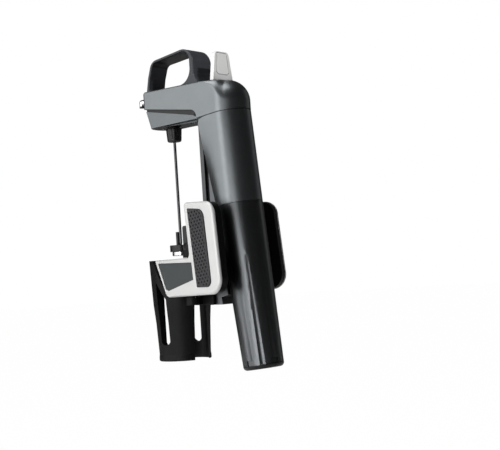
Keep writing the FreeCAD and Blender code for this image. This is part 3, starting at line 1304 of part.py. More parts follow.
sleeve = turned("sleeve", SLEEVE, "size.jaw_cover")
window = prism("window", "YZ_Plane", [
    ("size.window_front", "size.window_top"),
    ("size.window_front", "size.window_bottom + size.window_round",
     ("(size.window_front + size.window_rear) / 2", "size.window_bottom")),
    ("size.window_rear", "size.window_bottom + size.window_round"),
    ("size.window_rear", "size.wing_bottom - 1.4")],
    "size.jaw_top_radius", offset="size.bottle_radius / 2")
place(sleeve, ("0", "-size.jaw_shift", "0"), (0, 0, 1), "size.jaw_turn")
plate = in_wing(prism("plate", "YZ_Plane", wing_outline("size.wing_margin"), "size.wing_plate",
                      reverse=True, offset="-size.frame_thickness"))
boss = cylinder("boss", "size.boss_radius", "size.boss_top - size.boss_bottom",
                ("size.pivot_x", "size.pivot_y", "size.boss_bottom"))
web = box("web", ("size.pivot_x - 2.4", "size.pivot_y - 12", "size.boss_bottom + 1"),
          ("size.pivot_x + 4", "size.pivot_y", "-0.4"))
frame_room = in_wing(prism("frame_room", "YZ_Plane", wing_outline("0"), "size.bottle_radius",
                           offset="-size.frame_thickness"))
neck = cylinder("neck", "size.bottle_radius", "size.jaw_height + size.wing_top + 10",
                ("0", "0", f"{JAW_FOOT} - 5"))
pivot_bore = cylinder("pivot_bore", "size.pivot_radius + size.pivot_gap",
                      "size.boss_top - size.boss_bottom + 10",
                      ("size.pivot_x", "size.pivot_y", "size.boss_bottom - 5"))
node("left_jaw", cut("left_jaw", fuse("jaw_full", cut("sleeve_cut", sleeve, window), plate, boss, web),
                     frame_room, neck, pivot_bore))
slab = prism("slab", "YZ_Plane", wing_outline("0"), "size.frame_thickness", reverse=True)


def face_rim(edge):
    """The outline of the slab's outer face."""
    return edge.BoundBox.XLength < 1e-4 and abs(edge.BoundBox.XMin) < 1e-4


pad_hole = prism("pad_hole", "YZ_Plane", PAD_OUTLINE, "3 * size.frame_thickness", symmetric=True)
inset_hole = prism("inset_hole", "YZ_Plane", INSET_OUTLINE, "3 * size.frame_thickness", symmetric=True)
slab_soft = rounded("slab_soft", slab, "size.frame_round", face_rim)
node("left_frame", in_wing(cut("left_frame", slab_soft, pad_hole, inset_hole)))
node("left_grip_pad", in_wing(prism("left_grip_pad", "YZ_Plane", PAD_OUTLINE,
                                    "size.frame_thickness + size.pad_proud", reverse=True,
                                    offset="size.pad_proud")))
node("left_inset", in_wing(prism("left_inset", "YZ_Plane", INSET_OUTLINE,
                                 "size.frame_thickness - size.inset_sink", reverse=True,
                                 offset="-size.inset_sink")))

# The right side mirrors the left

for left_piece in [item for item in NODES if item.Label.startswith("left_")]:
    right_name = left_piece.Label.replace("left_", "right_")
    mirrored = doc.addObject("Part::Mirroring", right_name)
    mirrored.Source = left_piece
    mirrored.Normal = FreeCAD.Vector(1, 0, 0)
    node(right_name, mirrored)

# Check and write

doc.recompute()
for item in doc.Objects:
    if "Invalid" in item.State or "Error" in item.State:
        raise RuntimeError(f"{item.Name} did not compute")
os.makedirs("parts", exist_ok=True)
for item in NODES:
    if item.Shape.isNull() or not item.Shape.isValid():
        raise RuntimeError(f"{item.Label} is not a valid shape")
    item.Shape.exportStep(f"parts/{item.Label}.step")
    bounds = item.Shape.BoundBox
    print(f"{item.Label:18s} solids {len(item.Shape.Solids)} volume {item.Shape.Volume:9.1f} "
          f"x {bounds.XMin:6.1f} {bounds.XMax:6.1f} y {bounds.YMin:6.1f} {bounds.YMax:6.1f} "
          f"z {bounds.ZMin:6.1f} {bounds.ZMax:6.1f}")
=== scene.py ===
# %% [markdown]
# # A wine preservation dispenser, dressed
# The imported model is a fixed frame: it says where every solid is, and which body it moves with.
# This lesson keeps that frame, gives each solid the finish of the real piece, and makes the
# pieces whose shape matters more than a solid can say: coils, screws, the needle, the soft grips.

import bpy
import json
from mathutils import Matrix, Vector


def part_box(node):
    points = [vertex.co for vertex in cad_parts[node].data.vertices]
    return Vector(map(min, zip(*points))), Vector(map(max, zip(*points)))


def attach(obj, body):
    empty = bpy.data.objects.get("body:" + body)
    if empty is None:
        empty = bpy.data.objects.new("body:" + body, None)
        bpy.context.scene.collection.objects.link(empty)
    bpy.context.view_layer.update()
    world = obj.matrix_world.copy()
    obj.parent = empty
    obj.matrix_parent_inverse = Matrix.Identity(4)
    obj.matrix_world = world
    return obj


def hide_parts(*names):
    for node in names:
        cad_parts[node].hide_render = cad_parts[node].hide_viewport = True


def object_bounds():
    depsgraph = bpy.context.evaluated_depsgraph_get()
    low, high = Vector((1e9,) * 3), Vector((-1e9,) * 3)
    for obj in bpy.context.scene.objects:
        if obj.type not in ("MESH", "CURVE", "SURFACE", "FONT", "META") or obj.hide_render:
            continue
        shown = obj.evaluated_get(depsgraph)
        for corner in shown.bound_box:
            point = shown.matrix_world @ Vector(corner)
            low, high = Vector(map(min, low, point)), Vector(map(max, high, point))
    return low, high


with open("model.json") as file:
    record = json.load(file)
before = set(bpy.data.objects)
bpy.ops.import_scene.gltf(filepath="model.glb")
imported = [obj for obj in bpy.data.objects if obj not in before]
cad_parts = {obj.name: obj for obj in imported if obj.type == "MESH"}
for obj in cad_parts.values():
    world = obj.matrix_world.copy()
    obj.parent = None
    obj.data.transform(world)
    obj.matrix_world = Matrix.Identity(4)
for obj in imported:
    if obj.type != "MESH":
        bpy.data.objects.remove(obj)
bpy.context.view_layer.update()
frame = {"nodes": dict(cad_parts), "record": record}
nodes = frame["nodes"]
print("solids in the frame:", len(nodes))

# %% [markdown]
# The model is in metres and the drawing in millimetres, so one constant turns one into the other.
# Colours are written as hex sRGB, the way a colour picker shows them. Shaders work in linear
# light, so every colour passes through one function.

# %% Units and colour
import json
import math

import bmesh
import bpy
import numpy as np
from mathutils import Matrix, Vector

MM = 0.001


def linear(hex_colour):
    """sRGB hex to linear RGBA: each channel c becomes ((c + 0.055) / 1.055) to the power 2.4,
    and the darkest ones, up to 0.04045, become c / 12.92."""
    channels = np.array([int(hex_colour[i:i + 2], 16) for i in (1, 3, 5)]) / 255
    low = channels / 12.92
    high = ((channels + 0.055) / 1.055) ** 2.4
    return (*np.where(channels <= 0.04045, low, high), 1.0)


def per(millimetres):
    """Texture scale whose features are this many millimetres wide, for coordinates in metres."""
    return 1 / (millimetres * MM)


print("mid grey in linear light:", round(linear("#808080")[0], 3))

# %% [markdown]
# A material is a small graph of nodes. It could be drawn by hand in the shader editor. Here one
# function adds a node: it sets the node's own fields, then fills each socket with a plain value
# or with a link from another node, so that a finish can be read from top to bottom.

# %% Adding a node
def add(tree, kind, fields=None, **sockets):
    """Adds a node and sets its fields. A socket is given by its name, with _ for a space, or by
    its number, as in_N."""
    item = tree.nodes.new(kind)
    for key, setting in (fields or {}).items():
        setattr(item, key, setting)
    for key, given in sockets.items():
        place = int(key[3:]) if key.startswith("in_") else key.replace("_", " ")
        socket = item.inputs[place]
        if isinstance(given, bpy.types.NodeSocket):
            tree.links.new(given, socket)
        else:
            socket.default_value = given
    return item


def empty_tree(owner):
    """Turns nodes on for a material or a world, and takes the ready-made ones away."""
    owner.use_nodes = True
    owner.node_tree.nodes.clear()
    return owner.node_tree


print("helpers for node trees:", add.__name__, empty_tree.__name__)

# %% [markdown]
# Every finish starts the same way: a Principled shader with its constants on its own sockets,
# and Object coordinates, which stay put on the piece. A fine grain then changes the colour, the
# roughness and the height a little, because no moulded or painted surface is perfectly even. The
# real flakes and mould marks are finer than a tenth of a millimetre, too fine to show, so the
# grain is drawn about 0.3 mm wide. Every finish also has shade painted into its colour within a
# millimetre of seams and inner corners, where an occlusion node finds them closed in. A finish
# may also have a second colour for the faces that look down: painted shade that keeps them dark
# above a pale floor.

# %% A finish with grain
# The broad noise is this many grains wide, and these are the shares of the two in the mottle.
BROAD_GRAINS, FINE_SHARE, BROAD_SHARE = 30, 0.7, 0.5
# The part of the fine noise that moves the roughness, and how far it moves it.
GRAIN_LOW, GRAIN_HIGH, ROUGHNESS_SWING, ROUGHNESS_LEAST = 0.3, 0.7, 0.05, 0.02
BUMP_STRENGTH = 0.5
# Painted seam shade: it is darkest where this share of the sky is open, and ends where the next share is.
SEAM_SHADE_SHUT, SEAM_SHADE_OPEN, SEAM_SHADE_MM, SEAM_SHADE_COLOUR = 0.25, 0.85, 0.9, "#0A0A0A"
# The second colour, painted shade on faces that look down, starts where a face's direction has this Z, and
# is whole at the next.
UNDERSIDE_SHADE_START, UNDERSIDE_SHADE_FULL = -0.3, -0.55


def finish(name, colour, metallic, roughness, grain_mm, mottle, bump_mm, specular=0.5, below=None):
    """A Principled material. Its colour is mixed with one darker by the share mottle, as noise of
    a fine and of a broad grain says. The fine noise also moves the roughness and lifts the
    surface by bump_mm. Occlusion paints shade into the colour at the seams, and below gives
    the faces that look down a darker second colour as painted shade."""
    material = bpy.data.materials.new(name)
    tree = empty_tree(material)
    place = add(tree, "ShaderNodeTexCoord")
    grain = add(tree, "ShaderNodeTexNoise", Vector=place.outputs["Object"], Scale=per(grain_mm),
                Detail=3.0, Roughness=0.6)
    broad = add(tree, "ShaderNodeTexNoise", Vector=place.outputs["Object"],
                Scale=per(grain_mm * BROAD_GRAINS), Detail=2.0, Roughness=0.5)
    fine = add(tree, "ShaderNodeMath", {"operation": "MULTIPLY"}, in_0=grain.outputs["Fac"], in_1=FINE_SHARE)
    both = add(tree, "ShaderNodeMath", {"operation": "MULTIPLY_ADD", "use_clamp": True},
               in_0=broad.outputs["Fac"], in_1=BROAD_SHARE, in_2=fine.outputs[0])
    full = linear(colour)
    dim = (*(channel * (1 - mottle) for channel in full[:3]), 1.0)
    colours = add(tree, "ShaderNodeMix", {"data_type": "RGBA"}, in_0=both.outputs[0],
                  in_6=full, in_7=dim).outputs[2]
    # Painted shade: faces that look down blend to the darker colour below.
    if below:
        facing = add(tree, "ShaderNodeSeparateXYZ", Vector=place.outputs["Normal"])
        underside_shade = add(tree, "ShaderNodeMapRange", in_0=facing.outputs["Z"],
                       in_1=UNDERSIDE_SHADE_START, in_2=UNDERSIDE_SHADE_FULL)
        colours = add(tree, "ShaderNodeMix", {"data_type": "RGBA"}, in_0=underside_shade.outputs[0],
                      in_6=colours, in_7=linear(below)).outputs[2]
    # Painted shade: the colour goes dark within reach of seams and inner corners that occlusion finds.
    open_sky = add(tree, "ShaderNodeAmbientOcclusion", {"samples": 8}, Distance=SEAM_SHADE_MM * MM)
    seam = add(tree, "ShaderNodeMapRange", in_0=open_sky.outputs["AO"], in_1=SEAM_SHADE_SHUT, in_2=SEAM_SHADE_OPEN)
    colours = add(tree, "ShaderNodeMix", {"data_type": "RGBA"}, in_0=seam.outputs[0],
                  in_6=linear(SEAM_SHADE_COLOUR), in_7=colours).outputs[2]
    rough = add(tree, "ShaderNodeMapRange", in_0=grain.outputs["Fac"], in_1=GRAIN_LOW, in_2=GRAIN_HIGH,
                in_3=max(roughness - ROUGHNESS_SWING, ROUGHNESS_LEAST),
                in_4=min(roughness + ROUGHNESS_SWING, 1.0))
    lift = add(tree, "ShaderNodeBump", Strength=BUMP_STRENGTH, Distance=bump_mm * MM,
               Height=grain.outputs["Fac"])
    shader = add(tree, "ShaderNodeBsdfPrincipled", Base_Color=colours, Metallic=metallic,
                 Roughness=rough.outputs[0], Specular_IOR_Level=specular, Normal=lift.outputs[0])
    add(tree, "ShaderNodeOutputMaterial", Surface=shader.outputs[0])
    return material


print("reach of a seam's dark line in mm:", SEAM_SHADE_MM)

# %% [markdown]
# The shell of the real object is die-cast metal with a satin graphite paint that holds fine
# metal flake. The cup is the same family, a shade darker. The clamp is black nylon, and its
# wings carry a pale cast frame. Image textures could show each surface, but a few numbers for
# each finish are enough at this size and never show a seam.

# %% The finishes
# After the name: colour, metallic, roughness, grain in mm, mottle, bump in mm, specular.

# Flake paint under satin lacquer: a lamp shows as one broad soft band, and the rest stays dark.
GRAPHITE = finish("satin_graphite_paint", "#74787A", 1.0, 0.36, 0.35, 0.25, 0.006)
# The same paint on the cover under the nose, a little duller. Its faces that look down are near black:
# partly its dark underside, partly painted shade.
CHIN_PAINT = finish("chin_graphite_paint", "#6A6E70", 1.0, 0.40, 0.35, 0.25, 0.006, below="#0C0C0D")
# A darker mix of it on the cup and the spine, and smoother, so its bands of light are narrower.
CUP_PAINT = finish("dark_graphite_paint", "#5A5C5E", 1.0, 0.32, 0.30, 0.25, 0.006)
# Soft-touch black paint: a wide dull sheen and no sharp highlight. Its faces that look down are painted near
# black as painted shade.
HANDLE_PAINT = finish("handle_soft_black", "#393B3F", 0.3, 0.45, 0.30, 0.25, 0.008, 0.3, below="#0A0A0B")
# Filled nylon as it leaves the mould: nearly black, with almost no mirror.
NYLON = finish("black_nylon_moulded", "#0F0F10", 0.0, 0.46, 0.40, 0.35, 0.015, 0.12)
# Nylon from a polished mould: black, with a soft clear highlight.
NYLON_SMOOTH = finish("black_nylon_smooth", "#141415", 0.0, 0.36, 0.40, 0.3, 0.006, 0.3)
# Pearl paint on a cast frame: pale and even, with little mirror.
SILVER = finish("pearl_silver_paint", "#C6C6C5", 0.2, 0.38, 0.30, 0.04, 0.003)
# Satin silver paint on the lever: paler and duller than the frames.
TRIGGER_PAINT = finish("trigger_satin_silver", "#CFCFCE", 0.15, 0.42, 0.30, 0.06, 0.004)
# Soft moulded pad in the lever: the same pale grey, with hardly any mirror.
TRIGGER_PAD = finish("trigger_soft_pad", "#CBCBCA", 0.0, 0.55, 0.35, 0.06, 0.01, 0.4)
# Moulded grip rubber: dark grey and matt.
RUBBER = finish("grip_rubber_moulded", "#343436", 0.0, 0.62, 0.35, 0.3, 0.02, 0.3)
# Moulded ABS plate: flat dark grey.
INSET = finish("grey_inset_plastic", "#3A3E3F", 0.2, 0.5, 0.3, 0.15, 0.006, 0.4)
# Stainless steel off the lathe: a bright mirror, a little blurred by the tool.
STEEL = finish("turned_stainless_steel", "#B9BABC", 1.0, 0.24, 0.25, 0.12, 0.002)
# Steel blackened in a hot bath: a dark blurred mirror.
OXIDE_STEEL = finish("black_oxide_steel", "#343435", 1.0, 0.38, 0.25, 0.2, 0.002)
# Polished stainless steel: a clear mirror.
BRIGHT_STEEL = finish("polished_stainless_steel", "#D4D5D6", 1.0, 0.12, 0.5, 0.05, 0.001)
# Low-friction coat on a drawn steel tube: dark, with one long line of light.
NEEDLE_COAT = finish("needle_low_friction_coat", "#4C4C4E", 0.9, 0.34, 1.2, 0.06, 0.0005)
# Anodised aluminium, satin: dark grey metal with a soft mirror.
RAIL_PAINT = finish("rail_satin_anodised", "#4A4B4C", 1.0, 0.34, 0.3, 0.2, 0.004)
# Turned brass: warm yellow metal.
BRASS = finish("turned_brass", "#B08D4A", 1.0, 0.3, 0.3, 0.12, 0.002)
# Moulded nitrile rubber: black and half matt.
SEAL = finish("nitrile_rubber", "#0E0E0F", 0.0, 0.5, 0.3, 0.2, 0.01, 0.4)
# Machined acetal without dye: off-white and a little waxy.
ACETAL = finish("natural_acetal", "#DAD9D2", 0.0, 0.4, 0.4, 0.05, 0.003)
# Soft drawn tube: it runs out of sight in the shell, so a plain pale skin stands for clear plastic.
CLEAR_TUBE = finish("clear_soft_tube", "#C9D0D2", 0.0, 0.25, 0.4, 0.05, 0.002)
print("finishes:", len(bpy.data.materials))

# %% [markdown]
# Each solid of the frame gets one of these finishes. The list goes from finish to pieces, as
# pieces are sorted for the paint shop, and is then turned round.

# %% Dressing the solids
DRESS = {
    GRAPHITE: ["head_shell", "body_shell"],
    CHIN_PAINT: ["chin_cover"],
    CUP_PAINT: ["capsule_cup", "spine_bracket", "spine_lower"],
    RAIL_PAINT: ["rail_track"],
    HANDLE_PAINT: ["handle_loop"],
    NYLON: ["left_jaw", "right_jaw", "carriage"],
    NYLON_SMOOTH: ["head_chassis", "needle_socket", "cup_base", "rail_stop", "needle_guide", "needle_hub"],
    SILVER: ["left_frame", "right_frame"],
    TRIGGER_PAINT: ["trigger"],
    TRIGGER_PAD: ["trigger_inset"],
    RUBBER: ["left_grip_pad", "right_grip_pad"],
    INSET: ["left_inset", "right_inset"],
    STEEL: ["guide_bush", "trigger_pin", "trigger_spring", "valve_stem", "valve_spring",
            "regulator_spring", "piercing_pin", "gas_capsule", "chin_screws", "rail_screws",
            "spine_screws"],
    OXIDE_STEEL: ["left_pivot_pin", "right_pivot_pin", "left_jaw_spring", "right_jaw_spring"],
    BRIGHT_STEEL: ["spout_tube"],
    NEEDLE_COAT: ["needle_tube"],
    BRASS: ["valve_body", "regulator_body", "regulator_piston", "regulator_cap"],
    SEAL: ["needle_seal", "capsule_seal", "spout_mouth", "cup_cushion"],
    ACETAL: ["glide_pads"],
    CLEAR_TUBE: ["gas_line", "gas_tube", "wine_tube"],
}
MATERIAL_OF = {node: material for material, group in DRESS.items() for node in group}
for name, item in nodes.items():
    item.data.materials.clear()
    item.data.materials.append(MATERIAL_OF[name])
print("solids dressed:", len(MATERIAL_OF))

# %% [markdown]
# A cast or moulded edge is never knife sharp: it catches the light as a thin bright line. The
# rounding could be cut into every solid, at the price of thousands of small faces. Instead a
# copy of the solid has its loose triangles merged into clean faces, and a Bevel modifier
# then rounds the edges. The copy takes the solid's place and rides on its body.

# %% Softening the edges of a solid
BODIES = frame["record"]["behaviour"]["bodies"]
BODY_OF = {node: body for body, members in BODIES.items() for node in members}
WELD_MM, FLAT_ANGLE, SHARP_ANGLE = 0.002, math.radians(0.4), math.radians(38)
BEVEL_SEGMENTS = 3


def stand_in(piece, node):
    """Lets a new piece stand for a solid: same body, and the solid is hidden."""
    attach(piece, BODY_OF[node])
    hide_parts(node)


def soften(node, width_mm):
    """Copies a solid, merges it and rounds its sharp edges by width_mm."""
    mesh = nodes[node].data.copy()
    work = bmesh.new()
    work.from_mesh(mesh)
    bmesh.ops.remove_doubles(work, verts=work.verts, dist=WELD_MM * MM)
    bmesh.ops.dissolve_limit(work, angle_limit=FLAT_ANGLE, verts=work.verts, edges=work.edges)
    work.to_mesh(mesh)
    work.free()
    mesh.shade_smooth()
    mesh.set_sharp_from_angle(angle=SHARP_ANGLE)
    piece = bpy.data.objects.new(f"{node}_soft", mesh)
    bpy.context.scene.collection.objects.link(piece)
    bevel = piece.modifiers.new("edge", "BEVEL")
    bevel.width = width_mm * MM
    bevel.segments = BEVEL_SEGMENTS
    bevel.limit_method = "ANGLE"
    bevel.angle_limit = SHARP_ANGLE
    bevel.harden_normals = True
    weigh = piece.modifiers.new("flat_faces_stay_flat", "WEIGHTED_NORMAL")
    weigh.keep_sharp = True
    stand_in(piece, node)


EDGE_MM = {
    "head_shell": 0.35, "chin_cover": 0.3, "trigger": 0.8, "trigger_inset": 0.25,
    "left_frame": 0.45, "right_frame": 0.45, "left_inset": 0.2, "right_inset": 0.2,
    "left_jaw": 0.35, "right_jaw": 0.35, "carriage": 0.3, "needle_guide": 0.4, "guide_bush": 0.35,
    "rail_track": 0.25, "spine_bracket": 0.3, "spine_lower": 0.3, "capsule_cup": 0.25, "cup_base": 0.25,
    "spout_mouth": 0.2, "body_shell": 0.15,
}
for node, width in EDGE_MM.items():
    soften(node, width)
print("softened:", len(EDGE_MM))

# %% [markdown]
# New pieces are surfaces of two parameters, held as a grid of points. They could be pushed into
# shape by hand, but a formula keeps each size in one place. One function turns a grid into a
# mesh, and another turns a profile about an axis to make such a grid, as a lathe would.

# %% From a grid of points to a mesh
CREASE_ANGLE = math.radians(50)


def surface(name, points, material, closed=False, flip=False):
    """Makes an object from an array of rows x columns x 3 points in millimetres. Each cell of the
    grid is one face. closed joins the end of each row to its start and fills the first and the
    last row with one face each. flip turns the faces of an open grid round."""
    rows, columns = points.shape[:2]
    row = np.arange(rows - 1)[:, None] * columns
    column = np.arange(columns if closed else columns - 1)
    after = (column + 1) % columns
    cells = np.stack([row + column, row + after, row + columns + after, row + columns + column], axis=-1)
    cells = cells.reshape(-1, 4)
    faces = (cells[:, ::-1] if flip else cells).tolist()
    if closed:
        first_row, last_row = range(columns), range((rows - 1) * columns, rows * columns)
        faces += [list(reversed(first_row)), list(last_row)]
    mesh = bpy.data.meshes.new(name)
    mesh.from_pydata((points.reshape(-1, 3) * MM).tolist(), [], faces)
    mesh.update()
    mesh.shade_smooth()
    mesh.set_sharp_from_angle(angle=CREASE_ANGLE)
    mesh.materials.append(material)
    piece = bpy.data.objects.new(name, mesh)
    bpy.context.scene.collection.objects.link(piece)
    return piece


def lathe(profile, steps, ribs=None):
    """Turns a profile of (radius, height) rows about Z: a row's point at angle t is radius times
    (cos t, sin t). ribs gives a factor for the radius by row and angle."""
    profile = np.array(profile, float)
    t = np.linspace(0, 2 * np.pi, steps, endpoint=False)
    radius = profile[:, :1] * np.ones_like(t)
    if ribs is not None:
        radius = radius * ribs(t, profile)
    heights = profile[:, 1:] * np.ones_like(t)
    return np.stack([radius * np.cos(t), radius * np.sin(t), heights], axis=-1)


print("rows, steps and axes of a turned disc:", lathe([(0, 0), (1, 0)], 48).shape)

# %% [markdown]
# The needle is a steel tube with a dark low-friction coat. Its end is ground to a closed point,
# so that it parts the cork and doesn't cut a plug out of it. A profile turned on the lathe gives
# all of it, without the small side hole that lets the wine in. The straight part has rows all
# along it, because long thin faces make the soft shadows on them look dotted.

# %% The needle
NEEDLE_LOW, NEEDLE_HIGH = (corner.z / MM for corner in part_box("needle_tube"))
NEEDLE_RADIUS = 1.0
# Rows of the ground point: radius and height above the tip.
POINT = [(0.04, 0.0), (0.35, 0.9), (0.8, 2.4)]
POINT_LENGTH = 3.4
TOP_RADIUS, TOP_BEVEL = 0.7, 0.3
NEEDLE_ROWS, NEEDLE_STEPS = 60, 32

straight = np.linspace(NEEDLE_LOW + POINT_LENGTH, NEEDLE_HIGH - TOP_BEVEL, NEEDLE_ROWS)
needle_profile = [(radius, NEEDLE_LOW + above_tip) for radius, above_tip in POINT]
needle_profile += [(NEEDLE_RADIUS, height) for height in straight]
needle_profile += [(TOP_RADIUS, NEEDLE_HIGH)]
needle = surface("needle_tube_ground", lathe(needle_profile, NEEDLE_STEPS), NEEDLE_COAT, closed=True)
stand_in(needle, "needle_tube")
print("needle length in mm:", round(NEEDLE_HIGH - NEEDLE_LOW, 1))

# %% [markdown]
# The knob that screws the needle in is moulded nylon, with shallow ribs for the fingers. Each
# rib could be a cut of its own. Here they are part of the formula, a cosine of the angle, faded
# out towards the rounded foot and the top, so the knob stays one smooth skin.

# %% The needle's knob
HUB_LOW, HUB_HIGH, STEM_HIGH = 86.2, 95.7, 104.7
BORE_RADIUS, STEM_RADIUS, RIM_RADIUS = 1.02, 3.0, 5.5
FOOT_INNER, FOOT_OUTER, FOOT_BEND = 2.2, 3.9, 1.15
# Radius and height where the knob's side starts and where it ends.
SIDE_LOW, SIDE_HIGH = (5.12, HUB_LOW + 1.5), (5.65, HUB_HIGH - 0.4)
EASE = 0.1
HUB_RIBS, RIB_DEPTH, HUB_STEPS = 12, 0.035, 144
RIB_START, RIB_FADE_IN, RIB_FADE_OUT = 0.6, 1.6, 0.6


def hub_ribs(t, profile):
    """Radius factor: 1 less RIB_DEPTH times the square of a raised cosine of the angle, which is
    faded in above the foot and out below the rim."""
    height = profile[:, 1:]
    fade_in = np.clip((height - HUB_LOW - RIB_START) / RIB_FADE_IN, 0, 1)
    fade_out = np.clip((HUB_HIGH - height) / RIB_FADE_OUT, 0, 1)
    return 1 - RIB_DEPTH * fade_in * fade_out * (0.5 + 0.5 * np.cos(HUB_RIBS * t)) ** 2


hub_profile = [(BORE_RADIUS, HUB_LOW + EASE), (FOOT_INNER, HUB_LOW)]
hub_profile += [(FOOT_OUTER + FOOT_BEND * math.sin(a), HUB_LOW + FOOT_BEND * (1 - math.cos(a)))
                for a in np.linspace(0, np.pi / 2, 6)]
hub_profile += np.linspace(SIDE_LOW, SIDE_HIGH, 9).tolist()
hub_profile += [(RIM_RADIUS, HUB_HIGH), (STEM_RADIUS, HUB_HIGH)]
hub_profile += [(STEM_RADIUS, STEM_HIGH - EASE), (BORE_RADIUS, STEM_HIGH)]
hub = surface("needle_hub_ribbed", lathe(hub_profile, HUB_STEPS, hub_ribs), NYLON_SMOOTH, closed=True)
stand_in(hub, "needle_hub")
print("ribs on the knob:", HUB_RIBS)

# %% [markdown]
# A coil spring is one wire wound on a helix. It could be a curve with a round bevel. Here it is
# the same grid as its neighbours: the centre at turn t is radius times (cos t, sin t) and moves
# along the spring, and the wire's own circle stands square to it. Each coil fills the room of
# the plain tube that the frame keeps for it.

# %% Coil springs
STEPS_A_TURN, STEPS_ROUND_WIRE = 24, 10


def coil(node, along, wire_mm, turns):
    """A helix in the space of a node. along is 0, 1 or 2 for X, Y or Z. A point of the skin is the
    centre plus wire_mm times (cos a outward + sin a sideways), a being the angle round the wire."""
    low, high = (np.array(corner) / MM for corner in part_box(node))
    middle = (low + high) / 2
    across = [axis for axis in range(3) if axis != along]
    radius = (high - low)[across[0]] / 2 - wire_mm
    steps = turns * STEPS_A_TURN
    t = np.linspace(0, 2 * np.pi * turns, steps)
    centre = np.zeros((steps, 3))
    centre[:, across[0]] = radius * np.cos(t)
    centre[:, across[1]] = radius * np.sin(t)
    centre[:, along] = np.linspace(low[along] + wire_mm, high[along] - wire_mm, steps) - middle[along]
    outward = centre.copy()
    outward[:, along] = 0
    outward /= np.linalg.norm(outward, axis=1)[:, None]
    tangent = np.gradient(centre, axis=0)
    tangent /= np.linalg.norm(tangent, axis=1)[:, None]
    sideways = np.cross(tangent, outward)
    a = np.linspace(0, 2 * np.pi, STEPS_ROUND_WIRE, endpoint=False)[None, :, None]
    ring = np.cos(a) * outward[:, None, :] + np.sin(a) * sideways[:, None, :]
    points = centre[:, None, :] + wire_mm * ring + middle
    piece = surface(f"{node}_coil", points, MATERIAL_OF[node], closed=True)
    stand_in(piece, node)


# Axis, radius of the wire in mm, and turns.
COILS = {"trigger_spring": (0, 0.32, 3), "valve_spring": (1, 0.25, 4),
         "left_jaw_spring": (2, 0.5, 4), "right_jaw_spring": (2, 0.5, 4)}
for node, (along, wire, turns) in COILS.items():
    coil(node, along, wire, turns)
print("coils wound:", len(COILS))

# %% [markdown]
# A socket screw is a turned shape whose recess is a hexagon. The recess could be cut out with a
# boolean. Bending the turned rows into a hexagon needs no cut and leaves clean faces: the
# hexagon's radius at angle t is its flat distance over the cosine of the angle from the middle
# of the nearest flat.

# %% Screws
RECESS_SHARE, SCREW_STEPS = 0.42, 36


def hexagon(t):
    """Radius of a hexagon whose corners are at radius 1."""
    return math.cos(math.pi / 6) / np.cos(np.mod(t, np.pi / 3) - np.pi / 6)


def screw_points(head_mm, tall_mm, shank_mm, length_mm):
    """A button-head screw along +Z from its head's top at zero. Each row is a radius, a height and
    how much of a hexagon the row is: 1 in the recess and 0 outside it."""
    recess = head_mm * RECESS_SHARE
    floor_of_recess = [(0.01, 0.55 * tall_mm, 1), (recess, 0.55 * tall_mm, 1)]
    lip = [(recess, 0.02 * tall_mm, 1), (recess * 1.12, 0.0, 0.4)]
    dome = [(head_mm * 0.72, 0.03 * tall_mm, 0), (head_mm * 0.92, 0.28 * tall_mm, 0)]
    rim = [(head_mm, 0.6 * tall_mm, 0), (head_mm, tall_mm, 0), (shank_mm, tall_mm, 0)]
    end = [(shank_mm, length_mm - 0.3, 0), (shank_mm * 0.7, length_mm, 0)]
    rows = np.array(floor_of_recess + lip + dome + rim + end)

    def recess_shape(t, profile):
        """Radius factor: the hexagon's, as far as the row is one."""
        return 1 + rows[:, 2:] * (hexagon(t) - 1)

    return lathe(rows[:, :2], SCREW_STEPS, recess_shape)


def screws(node, spots, turn, head_mm, tall_mm, shank_mm, lengths):
    """Puts one screw at each spot, turned from +Z by a matrix. The screws ride on the node's body, and the
    node is hidden.
    """
    parts = []
    for index, (spot, length) in enumerate(zip(spots, lengths)):
        grid = screw_points(head_mm, tall_mm, shank_mm, length) @ turn.T + np.array(spot)
        parts.append(surface(f"{node}_{index}", grid, STEEL, closed=True))
    for part in parts:
        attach(part, BODY_OF[node])
    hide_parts(node)
    return parts


UP = np.eye(3)
TO_REAR = np.array([[1, 0, 0], [0, 0, 1], [0, -1, 0]])
TO_LEFT_SIDE = np.array([[0, 0, -1], [0, 1, 0], [1, 0, 0]])
CHIN_SPOTS = [(0, -11.0, 96.8), (5.2, 23.6, 96.8), (-5.2, 23.6, 96.8)]
RAIL_SPOTS = [(0, 28.6, height) for height in (-19.4, 34.6, 82.6)]
SPINE_SPOTS = [(6.2, 39.0, height) for height in (24.6, -0.4)]
# After the spots and the turn: the head's radius and height, the shank's radius, each length.
placed = screws("chin_screws", CHIN_SPOTS, UP, 2.0, 1.2, 1.2, (13.1, 6.8, 6.8))
placed += screws("rail_screws", RAIL_SPOTS, TO_REAR, 2.3, 1.2, 1.2, (5.6, 5.6, 5.6))
placed += screws("spine_screws", SPINE_SPOTS, TO_LEFT_SIDE, 1.6, 0.9, 1.2, (1.8, 1.8))
print("screws:", len(placed))

# %% [markdown]
# The grip on each wing is soft rubber with rows of small dimples. A bump in the material could
# draw them, but a real hollow also shows its depth from the side, so the skin itself is sunk.
# The outline has a straight inner side and a rear side with rounded corners. A point of the pad
# is a blend between the two sides, and dimples sink it where a staggered lattice says. The
# lattice leans a little, as the inner side does. The real dimples are about 2.4 mm apart, too
# fine to show, so they are drawn 3.4 mm apart.

# %% The grips
WING_X, WING_FLARE = 21.4, math.radians(13.6)
INNER_SIDE = [(40.9, -18.1), (34.7, 35.3)]
LOWER_CORNER = [(53.2, -18.1), (56.0, -16.7), (57.1, -13.0)]
UPPER_CORNER = [(53.5, 27.2), (51.8, 31.8), (47.8, 33.9)]
PAD_HEIGHT = INNER_SIDE[1][1] - INNER_SIDE[0][1]
